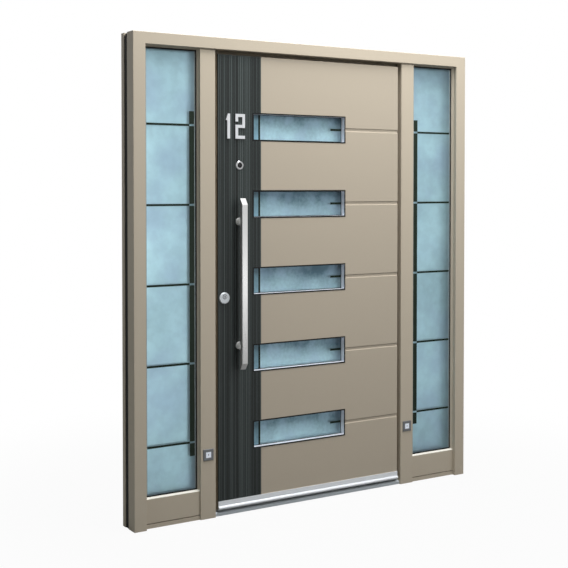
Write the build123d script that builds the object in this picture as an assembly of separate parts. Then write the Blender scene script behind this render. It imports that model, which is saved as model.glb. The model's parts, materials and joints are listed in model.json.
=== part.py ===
"""Front door set: one inward-opening leaf between two fixed, glazed sidelights.

Units are millimetres. X runs from left to right as seen from outside, Y from the outside to
the inside, and Z is up. The origin is the middle of the threshold's underside, halfway through
the depth of the frame.
"""
from build123d import *

import os

# Frame, across the front
LEAF_WIDTH = 994.0
LEAF_SIDE_GAP = 16.0
MULLION_FACE = 75.0
SIDELIGHT_OPENING = 262.5
JAMB_FACE = 57.0

# Frame, upwards
THRESHOLD_HEIGHT = 18.0
LEAF_FOOT_GAP = 10.0
LEAF_HEIGHT = 2007.0
LEAF_TOP_GAP = 19.0
HEAD_FACE = 51.0
BOTTOM_RAIL_TOP = 125.0
BASE_STRIP_HEIGHT = 18.0
BASE_SHADOW_GAP = 4.0
BASE_SHADOW_DEPTH = 10.0

# Frame, front to back
FRAME_DEPTH = 120.0
MULLION_SETBACK = 12.0
RAIL_SETBACK = 20.0
LEAF_SETBACK = 20.0
REBATE_SETBACK = 52.0
REBATE_STEP = 22.0
THRESHOLD_SETBACK = 22.0
THRESHOLD_BEVEL = 6.0

# Rounded edges of the profiles and of the leaf's skin
PROFILE_ROUND = 2.0
SKIN_ROUND = 1.5
PLANE_TOLERANCE = 0.01

# Thermal break let into the outer sides of the jambs and the top of the head
BREAK_SETBACK = 61.5
BREAK_WIDTH = 31.5
BREAK_GROOVE_DEPTH = 8.0
BREAK_THICKNESS = 5.0
BREAK_END_GAP = 1.0

# Sidelight glazing
BEAD_WIDTH = 7.5
BEAD_LIP = 1.0
GASKET_SHOW = 6.0
GASKET_THICKNESS = 3.0
SIDELIGHT_GLASS_SETBACK = 34.0
GLASS_THICKNESS = 36.0
GLASS_EDGE_GAP = 3.0
INNER_BEAD_WIDTH = 16.0
INNER_BEAD_SETBACK = 10.0

# Leaf build-up
SKIN_THICKNESS = 6.0
FLANGE_GAP = 8.0
FLANGE_SIDE_GAP = 12.0
FLANGE_TOP_GAP = 10.0
STILE_WIDTH = 80.0
LEAF_RAIL_WIDTH = 80.0
INNER_SKIN_THICKNESS = 4.0
INNER_SKIN_SETBACK = 4.0
DECOR_WIDTH = 221.0
SEAL_WIDTH = 10.0
SEAL_EDGE = 2.0
SEAL_THICKNESS = 3.0

# Leaf windows and the grooves that run on from them
WINDOW_COUNT = 5
WINDOW_LENGTH = 500.0
WINDOW_HEIGHT = 120.0
WINDOW_PITCH = 345.0
WINDOW_FROM_EDGE = 180.0
LOWEST_WINDOW = 282.0
WINDOW_RECESS = 27.0
SURROUND_WALL = 3.0
WINDOW_GLASS_GAP = 2.0
GROOVE_HEIGHT = 17.0
GROOVE_DEPTH = 4.0

# Weather bar at the foot of the leaf
WEATHER_BAR_FOOT = 1.0
WEATHER_BAR_HEIGHT = 37.0
WEATHER_BAR_PLATE = 3.0
WEATHER_BAR_NOSE = 10.0
NOSE_HEIGHT = 12.0
NOSE_SLOPE = 4.0
NOSE_ROUND = 1.5
NOSE_DROP = 4.5
NOSE_TUCK = 4.0

# Pull bar
BAR_FROM_EDGE = 106.5
BAR_WIDTH = 27.0
BAR_DEPTH = 20.0
BAR_STANDOFF = 35.0
BAR_LENGTH = 757.0
BAR_END_BEVEL = 28.5
BAR_FOOT = 647.0
BAR_ROUND = 1.5
POST_RADIUS = 17.0
POST_FROM_BAR_END = 103.0

# Lock, viewer and inside furniture
LOCK_FROM_EDGE = 30.0
LOCK_HEIGHT = 965.0
ROSE_RADIUS = 25.0
ROSE_PROUD = 9.0
ROSE_EDGE = 2.0
PLUG_RADIUS = 8.5
PLUG_RAISE = 6.0
PLUG_PROUD = 1.5
PLUG_CLEARANCE = 0.1
VIEWER_FROM_EDGE = 109.0
VIEWER_HEIGHT = 1550.0
VIEWER_RADIUS = 19.0
VIEWER_LENS_RADIUS = 12.0
VIEWER_PROUD = 5.0
VIEWER_EDGE = 1.5
LENS_SINK = 2.5
INNER_ROSE_RADIUS = 26.0
INNER_ROSE_THICKNESS = 8.0
INNER_ROSE_EDGE = 1.5
LEVER_RAISE = 92.0
LEVER_NECK_RADIUS = 10.0
LEVER_STANDOFF = 42.0
LEVER_LENGTH = 125.0
LEVER_HEIGHT = 20.0
LEVER_THICKNESS = 12.0
LEVER_EDGE = 4.0

# Lock plates let into the edges of the leaf and of the frame
PLATE_THICKNESS = 2.5
PLATE_WIDTH = 24.0
FACEPLATE_LENGTH = 260.0
STRIKE_LENGTH = 200.0

# Square spots on the mullions
SPOT_HEIGHT = 283.0
SPOT_SIZE = 50.0
SPOT_PROUD = 4.0
SPOT_LENS = 26.0
SPOT_LENS_SINK = 1.0
SPOT_LENS_GAP = 0.2
SPOT_EDGE = 1.5

# Hinges behind the right edge of the leaf
HINGE_HEIGHTS = (260.0, 1030.0, 1800.0)
HINGE_STANDOFF = 12.0
HINGE_KNUCKLE = 46.0
HINGE_RADIUS = 11.0
HINGE_PIN_RADIUS = 6.0
HINGE_PIN_CLEARANCE = 0.08
HINGE_PIN_LENGTH = 38.0
HINGE_KNUCKLE_GAP = 0.3
HINGE_WING = 46.0
HINGE_WING_THICKNESS = 4.0

# Places that follow from the sizes above
FRONT = -FRAME_DEPTH / 2
REAR = FRAME_DEPTH / 2
MULLION_FRONT = FRONT + MULLION_SETBACK
RAIL_FRONT = FRONT + RAIL_SETBACK
THRESHOLD_FRONT = FRONT + THRESHOLD_SETBACK
LEAF_FRONT = FRONT + LEAF_SETBACK
REBATE_FRONT = FRONT + REBATE_SETBACK
FLANGE_FRONT = REBATE_FRONT + FLANGE_GAP
CORE_FRONT = LEAF_FRONT + SKIN_THICKNESS

LEAF_EDGE = LEAF_WIDTH / 2
DOORWAY_EDGE = LEAF_EDGE + LEAF_SIDE_GAP
REBATE_EDGE = DOORWAY_EDGE + REBATE_STEP
FLANGE_EDGE = REBATE_EDGE - FLANGE_SIDE_GAP
SIDELIGHT_NEAR = DOORWAY_EDGE + MULLION_FACE
SIDELIGHT_FAR = SIDELIGHT_NEAR + SIDELIGHT_OPENING
FRAME_EDGE = SIDELIGHT_FAR + JAMB_FACE
STILE_EDGE = LEAF_EDGE - STILE_WIDTH

LEAF_FOOT = THRESHOLD_HEIGHT + LEAF_FOOT_GAP
LEAF_TOP = LEAF_FOOT + LEAF_HEIGHT
HEAD_UNDERSIDE = LEAF_TOP + LEAF_TOP_GAP
HEAD_REBATE = HEAD_UNDERSIDE + REBATE_STEP
FRAME_TOP = HEAD_UNDERSIDE + HEAD_FACE
FLANGE_TOP = HEAD_REBATE - FLANGE_TOP_GAP
PANEL_FOOT = LEAF_FOOT + LEAF_RAIL_WIDTH
PANEL_TOP = LEAF_TOP - LEAF_RAIL_WIDTH

BREAK_FRONT = FRONT + BREAK_SETBACK
BREAK_REAR = BREAK_FRONT + BREAK_WIDTH
SIDELIGHT_GLASS_FRONT = FRONT + SIDELIGHT_GLASS_SETBACK
SIDELIGHT_GLASS_REAR = SIDELIGHT_GLASS_FRONT + GLASS_THICKNESS
BEAD_REAR = SIDELIGHT_GLASS_FRONT - GASKET_THICKNESS
INNER_SKIN_REAR = REAR - INNER_SKIN_SETBACK
CORE_REAR = INNER_SKIN_REAR - INNER_SKIN_THICKNESS

WINDOW_LEFT = WINDOW_FROM_EDGE - LEAF_EDGE
WINDOW_RIGHT = WINDOW_LEFT + WINDOW_LENGTH
DECOR_RIGHT = DECOR_WIDTH - LEAF_EDGE
WINDOW_GLASS_FRONT = LEAF_FRONT + WINDOW_RECESS
WINDOW_GLASS_REAR = WINDOW_GLASS_FRONT + GLASS_THICKNESS
# Window 1 is the topmost.
WINDOW_FEET = [LOWEST_WINDOW + WINDOW_PITCH * row for row in reversed(range(WINDOW_COUNT))]

BAR_X = BAR_FROM_EDGE - LEAF_EDGE
BAR_REAR = LEAF_FRONT - BAR_STANDOFF
LOCK_X = LOCK_FROM_EDGE - LEAF_EDGE
VIEWER_X = VIEWER_FROM_EDGE - LEAF_EDGE
SPOT_X = (DOORWAY_EDGE + SIDELIGHT_NEAR) / 2
HINGE_X = (FLANGE_EDGE + REBATE_EDGE) / 2
HINGE_Y = REAR + HINGE_STANDOFF
LEVER_Z = LOCK_HEIGHT + LEVER_RAISE
PLATE_Y = (FLANGE_FRONT + REAR) / 2
PLATE_Z = (LOCK_HEIGHT + LEVER_Z) / 2


def block(x0, x1, y0, y1, z0, z1):
    """Return the upright box between two corners."""
    centre = Pos((x0 + x1) / 2, (y0 + y1) / 2, (z0 + z1) / 2)
    return centre * Box(x1 - x0, y1 - y0, z1 - z0)


def upright(points, z0, z1):
    """Return a post: a plan outline of (x, y) points, carried up from z0 to z1."""
    outline = make_face(Polyline(*points, close=True))
    return Pos(0, 0, z0) * extrude(outline, z1 - z0)


def lying(points, x0, x1):
    """Return a bar: a section of (y, z) points, carried along X from x0 to x1."""
    section = Plane.YZ * make_face(Polyline(*points, close=True))
    return Pos(x0, 0, 0) * extrude(section, x1 - x0)


def slab(points, y0, y1):
    """Return a sheet: an elevation of (x, z) points, carried back from y0 to y1."""
    elevation = Plane.XZ * make_face(Polyline(*points, close=True))
    return Pos(0, y0, 0) * extrude(elevation, y1 - y0, dir=(0, 1, 0))


def disc(x, z, radius, y0, y1):
    """Return a round piece whose axis runs from front to back."""
    return Pos(x, (y0 + y1) / 2, z) * Rot(90, 0, 0) * Cylinder(radius, y1 - y0)


def ring(x0, x1, z0, z1, wall, y0, y1):
    """Return a rectangular ring with walls of one thickness."""
    inside = block(x0 + wall, x1 - wall, y0, y1, z0 + wall, z1 - wall)
    return block(x0, x1, y0, y1, z0, z1) - inside


def mirrored(part):
    """Return the piece for the other side of the door."""
    return mirror(part, about=Plane.YZ)


def front_edges(part, y):
    """Return the edges of a piece that lie in the plane at y."""
    return part.edges().filter_by_position(Axis.Y, y - PLANE_TOLERANCE, y + PLANE_TOLERANCE)


def make_jamb():
    """Return the right jamb, mitred at the top, with a groove for the thermal break."""
    post = block(SIDELIGHT_FAR, FRAME_EDGE, FRONT, REAR, 0, FRAME_TOP)
    post = fillet(front_edges(post, FRONT).filter_by(Axis.Z), PROFILE_ROUND)
    mitre = [(SIDELIGHT_FAR, HEAD_UNDERSIDE), (FRAME_EDGE, FRAME_TOP), (SIDELIGHT_FAR, FRAME_TOP)]
    groove = block(FRAME_EDGE - BREAK_GROOVE_DEPTH, FRAME_EDGE, BREAK_FRONT, BREAK_REAR, 0, FRAME_TOP)
    return post - slab(mitre, FRONT, REAR) - groove


def make_head():
    """Return the head: mitred ends, a rebate over the leaf and a groove along the top."""
    elevation = [
        (-SIDELIGHT_FAR, HEAD_UNDERSIDE),
        (SIDELIGHT_FAR, HEAD_UNDERSIDE),
        (FRAME_EDGE, FRAME_TOP),
        (-FRAME_EDGE, FRAME_TOP),
    ]
    rebate = block(-REBATE_EDGE, REBATE_EDGE, REBATE_FRONT, REAR, HEAD_UNDERSIDE, HEAD_REBATE)
    groove_foot = FRAME_TOP - BREAK_GROOVE_DEPTH
    groove = block(-FRAME_EDGE, FRAME_EDGE, BREAK_FRONT, BREAK_REAR, groove_foot, FRAME_TOP)
    bar = slab(elevation, FRONT, REAR)
    bar = fillet(front_edges(bar, FRONT).filter_by(Axis.X), PROFILE_ROUND)
    return bar - rebate - groove


def make_thermal_breaks():
    """Return the dark strips on the floors of the grooves, one each side and one on top."""
    floor = BREAK_GROOVE_DEPTH
    face = BREAK_GROOVE_DEPTH - BREAK_THICKNESS
    side_top = FRAME_TOP - floor - BREAK_END_GAP
    side = block(FRAME_EDGE - floor, FRAME_EDGE - face, BREAK_FRONT, BREAK_REAR, 0, side_top)
    # The top strip ends where the mitre cuts the groove's floor.
    reach = SIDELIGHT_FAR + (HEAD_FACE - floor) * JAMB_FACE / HEAD_FACE
    top = block(-reach, reach, BREAK_FRONT, BREAK_REAR, FRAME_TOP - floor, FRAME_TOP - face)
    return Compound([side, mirrored(side), top])


def make_mullion():
    """Return the right mullion: a lip in front of the rebate that the leaf closes into."""
    plan = [
        (DOORWAY_EDGE, MULLION_FRONT),
        (SIDELIGHT_NEAR, MULLION_FRONT),
        (SIDELIGHT_NEAR, REAR),
        (REBATE_EDGE, REAR),
        (REBATE_EDGE, REBATE_FRONT),
        (DOORWAY_EDGE, REBATE_FRONT),
    ]
    post = upright(plan, 0, HEAD_UNDERSIDE)
    return fillet(front_edges(post, MULLION_FRONT).filter_by(Axis.Z), PROFILE_ROUND)


def plate_pocket(x0, x1, length):
    """Return the upright box, centred on the lock, that a plate in an edge fills."""
    y0 = PLATE_Y - PLATE_WIDTH / 2
    z0 = PLATE_Z - length / 2
    return block(x0, x1, y0, y0 + PLATE_WIDTH, z0, z0 + length)


def make_strike_plate():
    """Return the plate that the bolts enter, let into the left mullion's rebate."""
    return plate_pocket(-REBATE_EDGE - PLATE_THICKNESS, -REBATE_EDGE, STRIKE_LENGTH)


def make_lock_faceplate():
    """Return the lock's plate, let into the leaf's left edge."""
    return plate_pocket(-FLANGE_EDGE, -FLANGE_EDGE + PLATE_THICKNESS, FACEPLATE_LENGTH)


def make_threshold():
    """Return the low metal threshold, bevelled in front and shaped to the mullions' rebates."""
    section = [
        (THRESHOLD_FRONT, 0),
        (REAR, 0),
        (REAR, THRESHOLD_HEIGHT),
        (THRESHOLD_FRONT + THRESHOLD_BEVEL, THRESHOLD_HEIGHT),
        (THRESHOLD_FRONT, THRESHOLD_HEIGHT - THRESHOLD_BEVEL),
    ]
    bar = lying(section, -REBATE_EDGE, REBATE_EDGE)
    lip = block(DOORWAY_EDGE, REBATE_EDGE, THRESHOLD_FRONT, REBATE_FRONT, 0, THRESHOLD_HEIGHT)
    return bar - lip - mirrored(lip)


def make_bottom_rail():
    """Return the rail under the right sidelight."""
    foot = BASE_STRIP_HEIGHT + BASE_SHADOW_GAP
    return block(SIDELIGHT_NEAR, SIDELIGHT_FAR, RAIL_FRONT, REAR, foot, BOTTOM_RAIL_TOP)


def make_base_strip():
    """Return the strip under the right bottom rail, with a tongue that leaves a shadow line."""
    tongue_front = RAIL_FRONT + BASE_SHADOW_DEPTH
    tongue_rear = REAR - BASE_SHADOW_DEPTH
    tongue_top = BASE_STRIP_HEIGHT + BASE_SHADOW_GAP
    section = [
        (RAIL_FRONT, 0),
        (REAR, 0),
        (REAR, BASE_STRIP_HEIGHT),
        (tongue_rear, BASE_STRIP_HEIGHT),
        (tongue_rear, tongue_top),
        (tongue_front, tongue_top),
        (tongue_front, BASE_STRIP_HEIGHT),
        (RAIL_FRONT, BASE_STRIP_HEIGHT),
    ]
    return lying(section, SIDELIGHT_NEAR, SIDELIGHT_FAR)


def sidelight_ring(wall, y0, y1):
    """Return a ring that lines the right sidelight's opening."""
    return ring(SIDELIGHT_NEAR, SIDELIGHT_FAR, BOTTOM_RAIL_TOP, HEAD_UNDERSIDE, wall, y0, y1)


def sidelight_elevation(inset, y):
    """Return the right sidelight's opening as a flat outline at y, drawn in on all sides."""
    width = SIDELIGHT_OPENING - 2 * inset
    height = HEAD_UNDERSIDE - BOTTOM_RAIL_TOP - 2 * inset
    centre = Pos((SIDELIGHT_NEAR + SIDELIGHT_FAR) / 2, y, (BOTTOM_RAIL_TOP + HEAD_UNDERSIDE) / 2)
    return centre * (Plane.XZ * Rectangle(width, height))


def make_sidelight_glass():
    """Return the right sidelight's sealed unit."""
    gap = GLASS_EDGE_GAP
    return block(
        SIDELIGHT_NEAR + gap,
        SIDELIGHT_FAR - gap,
        SIDELIGHT_GLASS_FRONT,
        SIDELIGHT_GLASS_REAR,
        BOTTOM_RAIL_TOP + gap,
        HEAD_UNDERSIDE - gap,
    )


def make_outer_bead():
    """Return the right sidelight's front bead, whose inner sides slope in to the glass."""
    outer = sidelight_elevation(BEAD_LIP, RAIL_FRONT)
    inner = sidelight_elevation(BEAD_WIDTH, BEAD_REAR)
    opening = loft([outer, inner])
    body = block(SIDELIGHT_NEAR, SIDELIGHT_FAR, RAIL_FRONT, BEAD_REAR, BOTTOM_RAIL_TOP, HEAD_UNDERSIDE)
    return body - opening


def make_inner_bead():
    """Return the right sidelight's inside bead."""
    front = SIDELIGHT_GLASS_REAR + GASKET_THICKNESS
    return sidelight_ring(INNER_BEAD_WIDTH, front, REAR - INNER_BEAD_SETBACK)


def make_sidelight_gaskets():
    """Return the dark gaskets on both faces of both sidelights' glass."""
    wall = BEAD_WIDTH + GASKET_SHOW
    front = sidelight_ring(wall, BEAD_REAR, SIDELIGHT_GLASS_FRONT)
    rear = sidelight_ring(wall, SIDELIGHT_GLASS_REAR, SIDELIGHT_GLASS_REAR + GASKET_THICKNESS)
    return Compound([front, rear, mirrored(front), mirrored(rear)])


def make_rebate_seal():
    """Return the three strips of seal behind the lips of the mullions and the head."""
    rear = REBATE_FRONT + SEAL_THICKNESS
    near = DOORWAY_EDGE + SEAL_EDGE
    side = block(near, near + SEAL_WIDTH, REBATE_FRONT, rear, THRESHOLD_HEIGHT, HEAD_UNDERSIDE)
    foot = HEAD_UNDERSIDE + SEAL_EDGE
    top = block(-near, near, REBATE_FRONT, rear, foot, foot + SEAL_WIDTH)
    return Compound([side, mirrored(side), top])


def spot_square(half, y0):
    """Return a square block on the right mullion, given half its side and its front."""
    return block(SPOT_X - half, SPOT_X + half, y0, MULLION_FRONT, SPOT_HEIGHT - half, SPOT_HEIGHT + half)


def make_spot_bezel():
    """Return the right spot's square bezel, bevelled round its front."""
    face = MULLION_FRONT - SPOT_PROUD
    plate = spot_square(SPOT_SIZE / 2, face)
    plate = chamfer(front_edges(plate, face), SPOT_EDGE)
    return plate - spot_square(SPOT_LENS / 2, face)


def make_spot_lens():
    """Return the right spot's square lens, a little below the face of its bezel."""
    return spot_square(SPOT_LENS / 2 - SPOT_LENS_GAP, MULLION_FRONT - SPOT_PROUD + SPOT_LENS_SINK)


def make_stile():
    """Return the leaf's right stile, with the flange that closes into the rebate."""
    plan = [
        (STILE_EDGE, CORE_FRONT),
        (LEAF_EDGE, CORE_FRONT),
        (LEAF_EDGE, FLANGE_FRONT),
        (FLANGE_EDGE, FLANGE_FRONT),
        (FLANGE_EDGE, REAR),
        (STILE_EDGE, REAR),
    ]
    post = upright(plan, LEAF_FOOT, LEAF_TOP)
    return post + block(STILE_EDGE, FLANGE_EDGE, FLANGE_FRONT, REAR, LEAF_TOP, FLANGE_TOP)


def make_leaf_top_rail():
    """Return the leaf's top rail, with the flange that closes into the head's rebate."""
    section = [
        (CORE_FRONT, PANEL_TOP),
        (REAR, PANEL_TOP),
        (REAR, FLANGE_TOP),
        (FLANGE_FRONT, FLANGE_TOP),
        (FLANGE_FRONT, LEAF_TOP),
        (CORE_FRONT, LEAF_TOP),
    ]
    return lying(section, -STILE_EDGE, STILE_EDGE)


def make_leaf_bottom_rail():
    """Return the leaf's bottom rail."""
    return block(-STILE_EDGE, STILE_EDGE, CORE_FRONT, REAR, LEAF_FOOT, PANEL_FOOT)


def window_holes(y0, y1):
    """Return the boxes that cut all windows through a sheet between y0 and y1."""
    return [block(WINDOW_LEFT, WINDOW_RIGHT, y0, y1, foot, foot + WINDOW_HEIGHT) for foot in WINDOW_FEET]


def make_infill_board():
    """Return the insulating board between the leaf's stiles and rails, cut for the windows."""
    board = block(-STILE_EDGE, STILE_EDGE, CORE_FRONT, CORE_REAR, PANEL_FOOT, PANEL_TOP)
    return board - window_holes(CORE_FRONT, CORE_REAR)


def make_inner_panel():
    """Return the inside skin, set a little below the faces of the stiles and rails."""
    sheet = block(-STILE_EDGE, STILE_EDGE, CORE_REAR, INNER_SKIN_REAR, PANEL_FOOT, PANEL_TOP)
    return sheet - window_holes(CORE_REAR, INNER_SKIN_REAR)


def make_front_panel():
    """Return the outside skin right of the striped strip, with windows and grooves."""
    sheet = block(DECOR_RIGHT, LEAF_EDGE, LEAF_FRONT, CORE_FRONT, LEAF_FOOT, LEAF_TOP)
    front = front_edges(sheet, LEAF_FRONT)
    outer = [front.sort_by(Axis.X)[-1], front.sort_by(Axis.Z)[-1]]
    sheet = fillet(outer, SKIN_ROUND)
    floor = LEAF_FRONT + GROOVE_DEPTH
    grooves = []
    for foot in WINDOW_FEET:
        low = foot + (WINDOW_HEIGHT - GROOVE_HEIGHT) / 2
        high = low + GROOVE_HEIGHT
        # The lower side slopes, so that it sheds water and catches the light.
        section = [(LEAF_FRONT, low), (floor, low + GROOVE_DEPTH), (floor, high), (LEAF_FRONT, high)]
        grooves.append(lying(section, WINDOW_RIGHT, LEAF_EDGE))
    return sheet - window_holes(LEAF_FRONT, CORE_FRONT) - grooves


def make_decor_panel():
    """Return the striped strip along the lock side, notched for the windows."""
    sheet = block(-LEAF_EDGE, DECOR_RIGHT, LEAF_FRONT, CORE_FRONT, LEAF_FOOT, LEAF_TOP)
    front = front_edges(sheet, LEAF_FRONT)
    outer = [front.sort_by(Axis.X)[0], front.sort_by(Axis.Z)[-1]]
    return fillet(outer, SKIN_ROUND) - window_holes(LEAF_FRONT, CORE_FRONT)


def window_lining(foot, y0, y1):
    """Return the ring that lines one window's cut-out between y0 and y1."""
    return ring(WINDOW_LEFT, WINDOW_RIGHT, foot, foot + WINDOW_HEIGHT, SURROUND_WALL, y0, y1)


def make_window_glass(foot):
    """Return one window's sealed unit, held between its front and rear linings."""
    gap = WINDOW_GLASS_GAP
    return block(
        WINDOW_LEFT + gap,
        WINDOW_RIGHT - gap,
        WINDOW_GLASS_FRONT,
        WINDOW_GLASS_REAR,
        foot + gap,
        foot + WINDOW_HEIGHT - gap,
    )


def make_weather_bar():
    """Return the bar that throws water off the foot of the leaf: a plate with a round nose."""
    foot = LEAF_FOOT + WEATHER_BAR_FOOT
    top = foot + WEATHER_BAR_HEIGHT
    plate = LEAF_FRONT - WEATHER_BAR_PLATE
    tip = LEAF_FRONT - WEATHER_BAR_NOSE
    nose = foot + NOSE_HEIGHT
    nose_start = (tip + NOSE_ROUND, nose)
    nose_end = (tip + NOSE_TUCK, foot)
    corners = [(LEAF_FRONT, foot), (LEAF_FRONT, top), (plate, top), (plate, nose + NOSE_SLOPE)]
    back = Polyline(nose_end, *corners, nose_start)
    front = ThreePointArc(nose_start, (tip, nose - NOSE_DROP), nose_end)
    section = Plane.YZ * make_face(back + front)
    return Pos(-LEAF_EDGE, 0, 0) * extrude(section, LEAF_WIDTH)


def make_pull_bar():
    """Return the flat pull bar, shorter in front because both ends are bevelled."""
    top = BAR_FOOT + BAR_LENGTH
    front = BAR_REAR - BAR_DEPTH
    section = [
        (BAR_REAR, BAR_FOOT),
        (BAR_REAR, top),
        (front, top - BAR_END_BEVEL),
        (front, BAR_FOOT + BAR_END_BEVEL),
    ]
    bar = lying(section, BAR_X - BAR_WIDTH / 2, BAR_X + BAR_WIDTH / 2)
    return fillet(front_edges(bar, front).filter_by(Axis.Z), BAR_ROUND)


def make_pull_bar_posts():
    """Return the two round posts that carry the pull bar."""
    low = BAR_FOOT + POST_FROM_BAR_END
    high = BAR_FOOT + BAR_LENGTH - POST_FROM_BAR_END
    return Compound([disc(BAR_X, z, POST_RADIUS, BAR_REAR, LEAF_FRONT) for z in (low, high)])


def make_cylinder_rose():
    """Return the round rose over the lock, bored for the cylinder's plug."""
    face = LEAF_FRONT - ROSE_PROUD
    rose = disc(LOCK_X, LOCK_HEIGHT, ROSE_RADIUS, face, LEAF_FRONT)
    rose = chamfer(front_edges(rose, face), ROSE_EDGE)
    bore = PLUG_RADIUS + PLUG_CLEARANCE
    return rose - disc(LOCK_X, LOCK_HEIGHT + PLUG_RAISE, bore, face, LEAF_FRONT)


def make_lock_cylinder():
    """Return the end of the lock cylinder that shows in the rose."""
    face = LEAF_FRONT - ROSE_PROUD - PLUG_PROUD
    return disc(LOCK_X, LOCK_HEIGHT + PLUG_RAISE, PLUG_RADIUS, face, LEAF_FRONT)


def make_viewer_ring():
    """Return the ring round the door viewer."""
    face = LEAF_FRONT - VIEWER_PROUD
    body = disc(VIEWER_X, VIEWER_HEIGHT, VIEWER_RADIUS, face, LEAF_FRONT)
    body = chamfer(front_edges(body, face), VIEWER_EDGE)
    return body - disc(VIEWER_X, VIEWER_HEIGHT, VIEWER_LENS_RADIUS, face, LEAF_FRONT)


def make_viewer_lens():
    """Return the viewer's dark lens, sunk in its ring."""
    face = LEAF_FRONT - VIEWER_PROUD + LENS_SINK
    return disc(VIEWER_X, VIEWER_HEIGHT, VIEWER_LENS_RADIUS, face, LEAF_FRONT)


def make_inner_roses():
    """Return the two inside roses, one for the lever and one for the cylinder."""
    rear = REAR + INNER_ROSE_THICKNESS
    roses = []
    for z in (LOCK_HEIGHT, LEVER_Z):
        rose = disc(LOCK_X, z, INNER_ROSE_RADIUS, REAR, rear)
        roses.append(chamfer(front_edges(rose, rear), INNER_ROSE_EDGE))
    return Compound(roses)


def make_inner_lever():
    """Return the inside lever, which points away from the leaf's lock edge."""
    near = REAR + INNER_ROSE_THICKNESS
    far = near + LEVER_STANDOFF
    neck = disc(LOCK_X, LEVER_Z, LEVER_NECK_RADIUS, near, far - LEVER_THICKNESS)
    x0 = LOCK_X - LEVER_HEIGHT / 2
    z0 = LEVER_Z - LEVER_HEIGHT / 2
    grip = block(x0, x0 + LEVER_LENGTH, far - LEVER_THICKNESS, far, z0, z0 + LEVER_HEIGHT)
    grip = fillet(grip.edges().filter_by(Axis.X), LEVER_EDGE)
    return neck + grip


def make_frame_hinges():
    """Return the hinges' lower knuckles, with their pins and the wings on the right mullion."""
    hinges = []
    for height in HINGE_HEIGHTS:
        foot = height - HINGE_KNUCKLE
        top = height - HINGE_KNUCKLE_GAP / 2
        knuckle = Pos(HINGE_X, HINGE_Y, (foot + top) / 2) * Cylinder(HINGE_RADIUS, top - foot)
        pin_top = height + HINGE_PIN_LENGTH
        pin = Pos(HINGE_X, HINGE_Y, (foot + pin_top) / 2) * Cylinder(HINGE_PIN_RADIUS, pin_top - foot)
        wing = block(HINGE_X, HINGE_X + HINGE_WING, REAR, REAR + HINGE_WING_THICKNESS, foot, top)
        hinges.append(knuckle + wing + pin)
    return Compound(hinges)


def make_leaf_hinges():
    """Return the hinges' upper knuckles, bored for the pins, with the wings on the leaf."""
    hinges = []
    for height in HINGE_HEIGHTS:
        foot = height + HINGE_KNUCKLE_GAP / 2
        top = height + HINGE_KNUCKLE
        knuckle = Pos(HINGE_X, HINGE_Y, (foot + top) / 2) * Cylinder(HINGE_RADIUS, top - foot)
        wing = block(HINGE_X - HINGE_WING, HINGE_X, REAR, REAR + HINGE_WING_THICKNESS, foot, top)
        bore_top = height + HINGE_PIN_LENGTH + HINGE_KNUCKLE_GAP
        bore_radius = HINGE_PIN_RADIUS + HINGE_PIN_CLEARANCE
        bore = Pos(HINGE_X, HINGE_Y, (foot + bore_top) / 2) * Cylinder(bore_radius, bore_top - foot)
        hinges.append(knuckle + wing - bore)
    return Compound(hinges)


def make_pair(name, part):
    """Return the right-hand piece and its mirror image under their own names."""
    return {"left_" + name: mirrored(part), "right_" + name: part}


def make_frame():
    """Return the pieces that stay fixed in the wall, by name."""
    mullion = make_mullion()
    strike = make_strike_plate()
    bezel = make_spot_bezel()
    lens = make_spot_lens()
    pieces = {
        "head_rail": make_head(),
        "left_mullion": mirrored(mullion) - strike,
        "right_mullion": mullion,
        "threshold": make_threshold(),
        "thermal_breaks": make_thermal_breaks(),
        "sidelight_gaskets": make_sidelight_gaskets(),
        "rebate_seal": make_rebate_seal(),
        "strike_plate": strike,
        "spot_bezels": Compound([mirrored(bezel), bezel]),
        "spot_lenses": Compound([mirrored(lens), lens]),
        "frame_hinges": make_frame_hinges(),
    }
    pieces.update(make_pair("jamb", make_jamb()))
    pieces.update(make_pair("bottom_rail", make_bottom_rail()))
    pieces.update(make_pair("base_strip", make_base_strip()))
    pieces.update(make_pair("sidelight_glass", make_sidelight_glass()))
    pieces.update(make_pair("outer_bead", make_outer_bead()))
    pieces.update(make_pair("inner_bead", make_inner_bead()))
    return pieces


def make_leaf():
    """Return the pieces that swing with the leaf, by name."""
    stile = make_stile()
    faceplate = make_lock_faceplate()
    pieces = {
        "lock_stile": mirrored(stile) - faceplate,
        "hinge_stile": stile,
        "leaf_top_rail": make_leaf_top_rail(),
        "leaf_bottom_rail": make_leaf_bottom_rail(),
        "infill_board": make_infill_board(),
        "front_panel": make_front_panel(),
        "decor_panel": make_decor_panel(),
        "inner_panel": make_inner_panel(),
        "weather_bar": make_weather_bar(),
        "pull_bar": make_pull_bar(),
        "pull_bar_posts": make_pull_bar_posts(),
        "cylinder_rose": make_cylinder_rose(),
        "lock_cylinder": make_lock_cylinder(),
        "viewer_ring": make_viewer_ring(),
        "viewer_lens": make_viewer_lens(),
        "inner_roses": make_inner_roses(),
        "inner_lever": make_inner_lever(),
        "lock_faceplate": faceplate,
        "leaf_hinges": make_leaf_hinges(),
    }
    trims = []
    for number, foot in enumerate(WINDOW_FEET, start=1):
        pieces[f"window_surround_{number}"] = window_lining(foot, LEAF_FRONT, WINDOW_GLASS_FRONT)
        pieces[f"window_glass_{number}"] = make_window_glass(foot)
        trims.append(window_lining(foot, WINDOW_GLASS_REAR, INNER_SKIN_REAR))
    pieces["inner_window_trims"] = Compound(trims)
    return pieces


def main():
    """Write every piece to its own file."""
    os.makedirs("parts", exist_ok=True)
    for name, piece in {**make_frame(), **make_leaf()}.items():
        export_step(piece, f"parts/{name}.step")


main()
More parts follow.
